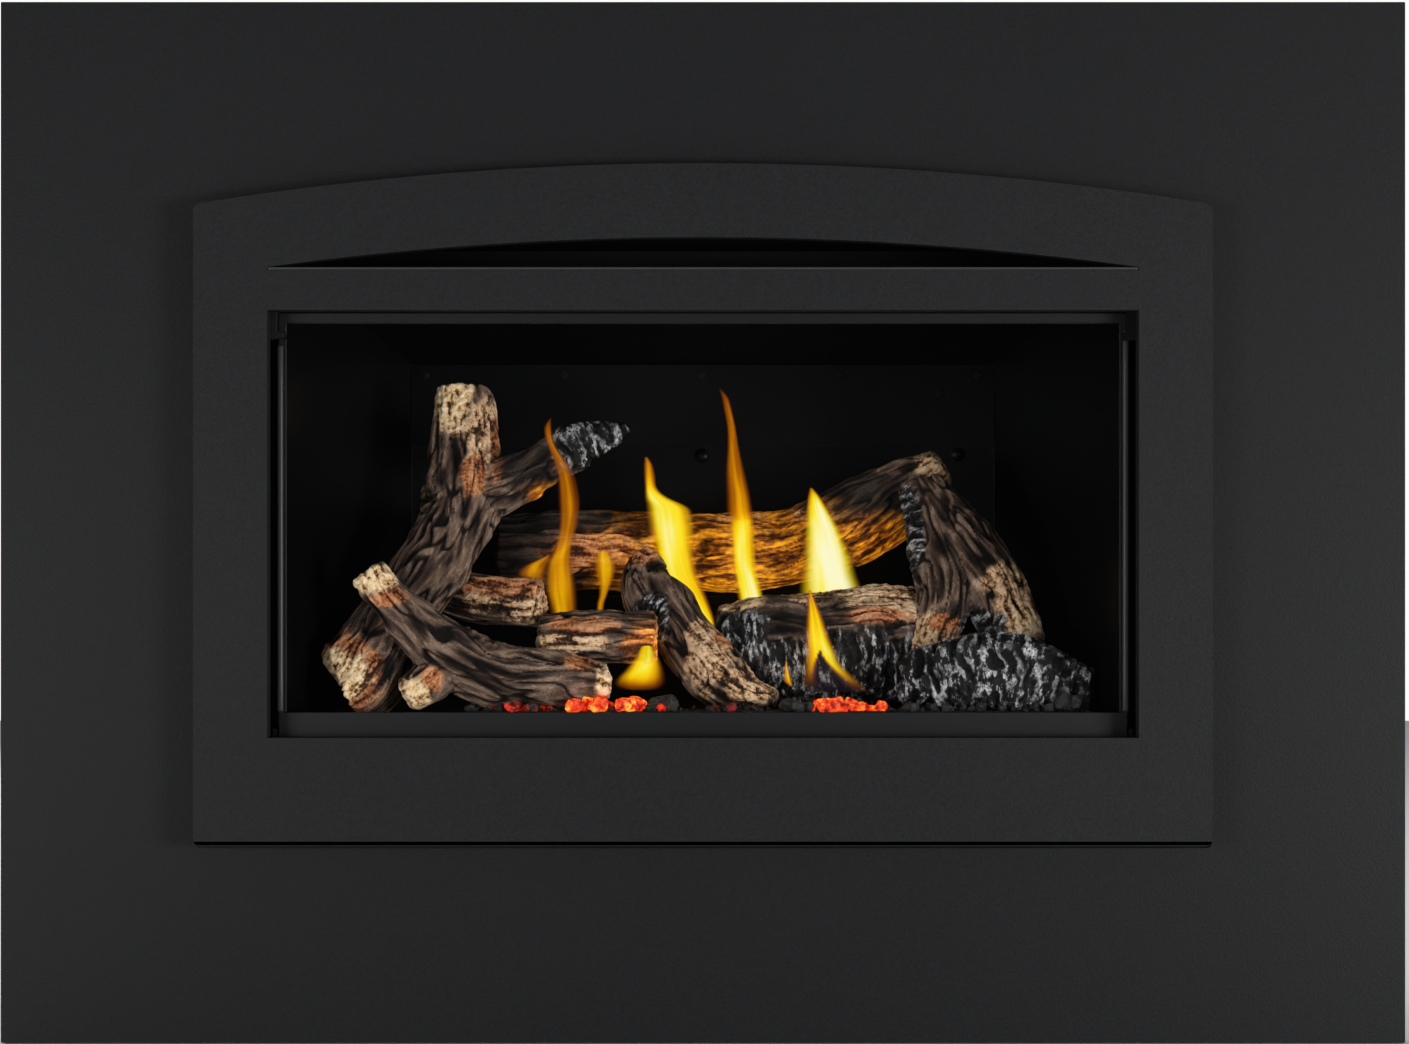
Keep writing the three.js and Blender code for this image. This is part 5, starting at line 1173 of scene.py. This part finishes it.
def make_outlet_lip():
    """The folded lip that stands just inside the air outlet's bottom edge, its coat lighter than the
    faceplate's as a painted highlight.
    """
    plate_from_outline("air_outlet_lip", centred_strip(LIP_HALF, LIP_FOOT, LIP_TOP),
                       PLATE_FRONT + LIP_NEAR, PLATE_FRONT + LIP_FAR, "faceplate",
                       "lip_coat_painted_highlight", 0.6 * MM)


STRAP_FOOT = 356 * MM                       # height of the left latch's lower end
STRAP_WIDTH, TOE_WIDTH = 7.4 * MM, 12.6 * MM


def make_left_latch():
    """The left latch: a narrow strap with a foot that reaches over the door's corner."""
    (left, near, _), (_, far, top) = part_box("latch_left")
    inner, toe = left + STRAP_WIDTH, left + TOE_WIDTH
    outline = [(left, STRAP_FOOT), (toe, STRAP_FOOT + 1.6 * MM), (toe, STRAP_FOOT + 5 * MM),
               (inner, STRAP_FOOT + 6.4 * MM), (inner, top), (left, top)]
    piece = plate_from_outline("left_latch_strap", outline, near, far, "latch_left",
                               "door_coat", 0.4 * MM)
    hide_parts("latch_left")


# A dark sheet under the casing's top, put in as painted shade inside the air outlet.
SHADE_SHEET_HALF, SHADE_SHEET_THICKNESS, SHADE_SHEET_DROP = 300 * MM, 0.8 * MM, 15 * MM
SHADE_SHEET_FRONT, SHADE_SHEET_REAR = -160 * MM, -60 * MM
SHADE_SHEET_CLEARANCE = 2.3 * MM                 # from the top of the casing's top sheet to the dark sheet


def make_outlet_shade_sheet():
    """A black sheet under the casing's top, and its turned-down rear edge: a dark sheet put in as painted
    shade inside the air outlet.
    """
    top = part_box("casing_top")[1][2] - SHADE_SHEET_CLEARANCE
    under = top - SHADE_SHEET_THICKNESS
    for name, low, high, near in (
            ("outlet_shade_sheet", under, top, SHADE_SHEET_FRONT),
            ("outlet_shade_sheet_edge", top - SHADE_SHEET_DROP, under, SHADE_SHEET_REAR - SHADE_SHEET_THICKNESS)):
        plate_from_outline(name, centred_strip(SHADE_SHEET_HALF, low, high), near, SHADE_SHEET_REAR, "root",
                           "black_steel", 0.2 * MM)


make_outlet_lip()
make_outlet_shade_sheet()
make_left_latch()

# ---------------------------------------------------------------- screws and studs


def head_grid(radius, height, recess):
    """A screw's head: a dome whose height falls off with the square of the distance, less a cross."""
    rings, sides = 9, 24
    reach = np.concatenate([np.linspace(0.02, 1, rings), [1.0]])[:, None]
    angle = full_turn(sides)[None, :]
    across, along = reach * np.cos(angle), reach * np.sin(angle)
    arms = np.minimum(np.abs(across), np.abs(along))
    cross = (1 - smooth_step(0.10, 0.20, arms)) * (1 - smooth_step(0.45, 0.6, reach + 0 * arms))
    rise = 0.35 + 0.65 * (1 - reach ** 2) + 0 * arms - recess * cross
    rise[-1] = 0.0
    return np.stack([radius * across, radius * along, height * rise], axis=2)


def fasten(name, places, facing, radius, height, body, finish, recess=0.5):
    """One mesh of equal heads at the given places; facing is the way that they point."""
    normal = np.array(facing, float) / np.linalg.norm(facing)
    side = np.cross(normal, (0.31, 0.17, 0.94))
    side /= np.linalg.norm(side)
    turn = np.stack([side, np.cross(normal, side), normal])
    head = head_grid(radius, height, recess)
    pattern = grid_faces(*head.shape[:2])
    unit = head.reshape(-1, 3) @ turn
    vertices = (np.asarray(places, float)[:, None] + unit[None]).reshape(-1, 3)
    faces = [face for i in range(len(places)) for face in shifted(pattern, i * len(unit))]
    piece = add_object(name, vertices, faces, FINISHES[finish])
    shade_smooth(piece.data, 50)
    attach(piece, body)


def row_of(start, end, count):
    return np.linspace(np.array(start, float), np.array(end, float), count)


LINER_STEP = 2 * MM                 # upper back panel ahead of the lower one
# Places on the back panel: (x, z) of the top row's ends, of the odd screw and of the two studs.
PANEL_ROW = [(-0.233, 0.354), (0.231, 0.354)]
ODD_SCREW = (0.199, 0.339)
STUDS = [(-0.0008, 0.2866), (0.214, 0.2878)]
CASING_SCREW_INSET = 10 * MM        # from the casing's edge to its rows of screws
SIDE_ROW_END, END_ROW_END = 30 * MM, 70 * MM    # from a row's last screws to the casing's corners


def make_fasteners():
    """The screws and studs of the firebox's back panel, and the screws round the casing's back."""
    (start_x, row_z), (end_x, _) = PANEL_ROW
    screws = np.vstack([row_of((start_x, BACK_PLANE, row_z), (end_x, BACK_PLANE, row_z), 5),
                        [(ODD_SCREW[0], BACK_PLANE, ODD_SCREW[1])]])
    fasten("back_panel_screws", screws, (0, -1, 0), 3.4 * MM, 2.2 * MM, "root", "black_steel")
    fasten("back_panel_studs", [(x, BACK_PLANE + LINER_STEP, z) for x, z in STUDS], (0, -1, 0),
           6.0 * MM, 3.4 * MM, "root", "porcelain", recess=0.0)
    (left, _, low), (right, rear, high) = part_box("casing_back")
    inset = CASING_SCREW_INSET
    sides = [row_of((x, rear, low + SIDE_ROW_END), (x, rear, high - SIDE_ROW_END), 5)
             for x in (left + inset, right - inset)]
    ends = [row_of((left + END_ROW_END, rear, z), (right - END_ROW_END, rear, z), 6)
            for z in (low + inset, high - inset)]
    fasten("casing_back_screws", np.vstack(sides + ends), (0, 1, 0), 4.0 * MM, 1.7 * MM,
           "root", "galvanised_steel")


make_fasteners()

# ---------------------------------------------------------------- floor, backdrop and light


FLOOR_HALF = 4.0
FILL_COLOUR, FILL_STRENGTH = (0.9, 0.94, 1.0, 1), 0.30
# Softboxes, in metres and watts: place, target, width and height, power.
LAMPS = {
    "left_softbox": ((-1.45, -1.95, 0.10), (0, -0.05, 0.15), (0.8, 0.45), 20),
    "right_softbox": ((1.75, -1.9, 0.06), (0, -0.05, 0.15), (0.8, 0.4), 44),
    "top_softbox": ((0, 0.6, 2.4), (0, 0, 0.3), (2.0, 1.5), 26),
    "rear_softbox": ((-1.6, 2.2, 1.4), (0, 0, 0.2), (1.6, 1.4), 30),
}


def make_stage():
    """A pale floor below the surround."""
    corners = [(x * FLOOR_HALF, y * FLOOR_HALF, FLOOR_HEIGHT)
               for x, y in ((-1, -1), (1, -1), (1, 1), (-1, 1))]
    mesh = bpy.data.meshes.new("studio_floor")
    mesh.from_pydata(corners, [], [(0, 1, 2, 3)])
    floor = link_object("studio_floor", mesh)
    material, shader = new_material("studio_floor")
    shade = object_noise(material, 3.0, detail=1.0)
    set_inputs(material, shader, {
        "Base Color": ramp(material, shade, [(0.0, (0.80, 0.80, 0.79)), (1.0, (0.84, 0.84, 0.83))]),
        "Roughness": 0.8})
    mesh.materials.append(material)


def make_world():
    """Even studio fill; the camera sees a white backdrop, through glass too."""
    world = bpy.data.worlds.new("studio")
    world.use_nodes = True
    world.node_tree.nodes.clear()
    path = add_node(world, "ShaderNodeLightPath")
    seen = math_node(world, "MAXIMUM", path.outputs["Is Camera Ray"], path.outputs["Is Transmission Ray"])
    fill = add_node(world, "ShaderNodeBackground", {"Color": FILL_COLOUR, "Strength": FILL_STRENGTH})
    white = add_node(world, "ShaderNodeBackground", {"Color": (1, 1, 1, 1), "Strength": 1.0})
    either = add_node(world, "ShaderNodeMixShader", {0: seen, 1: fill.outputs[0], 2: white.outputs[0]})
    add_node(world, "ShaderNodeOutputWorld", {"Surface": either.outputs[0]})
    bpy.context.scene.world = world


def make_lamps():
    """Each softbox's -Z points at its target, with its Y as near up as can be."""
    for name, (place, target, size, power) in LAMPS.items():
        data = bpy.data.lights.new(name, "AREA")
        data.shape = "RECTANGLE"
        data.size, data.size_y = size
        data.energy = power
        lamp = link_object(name, data)
        lamp.location = place
        lamp.rotation_euler = Vector(np.subtract(target, place)).to_track_quat("-Z", "Y").to_euler()


bpy.context.scene.view_settings.view_transform = "Standard"
make_stage()
make_world()
make_lamps()
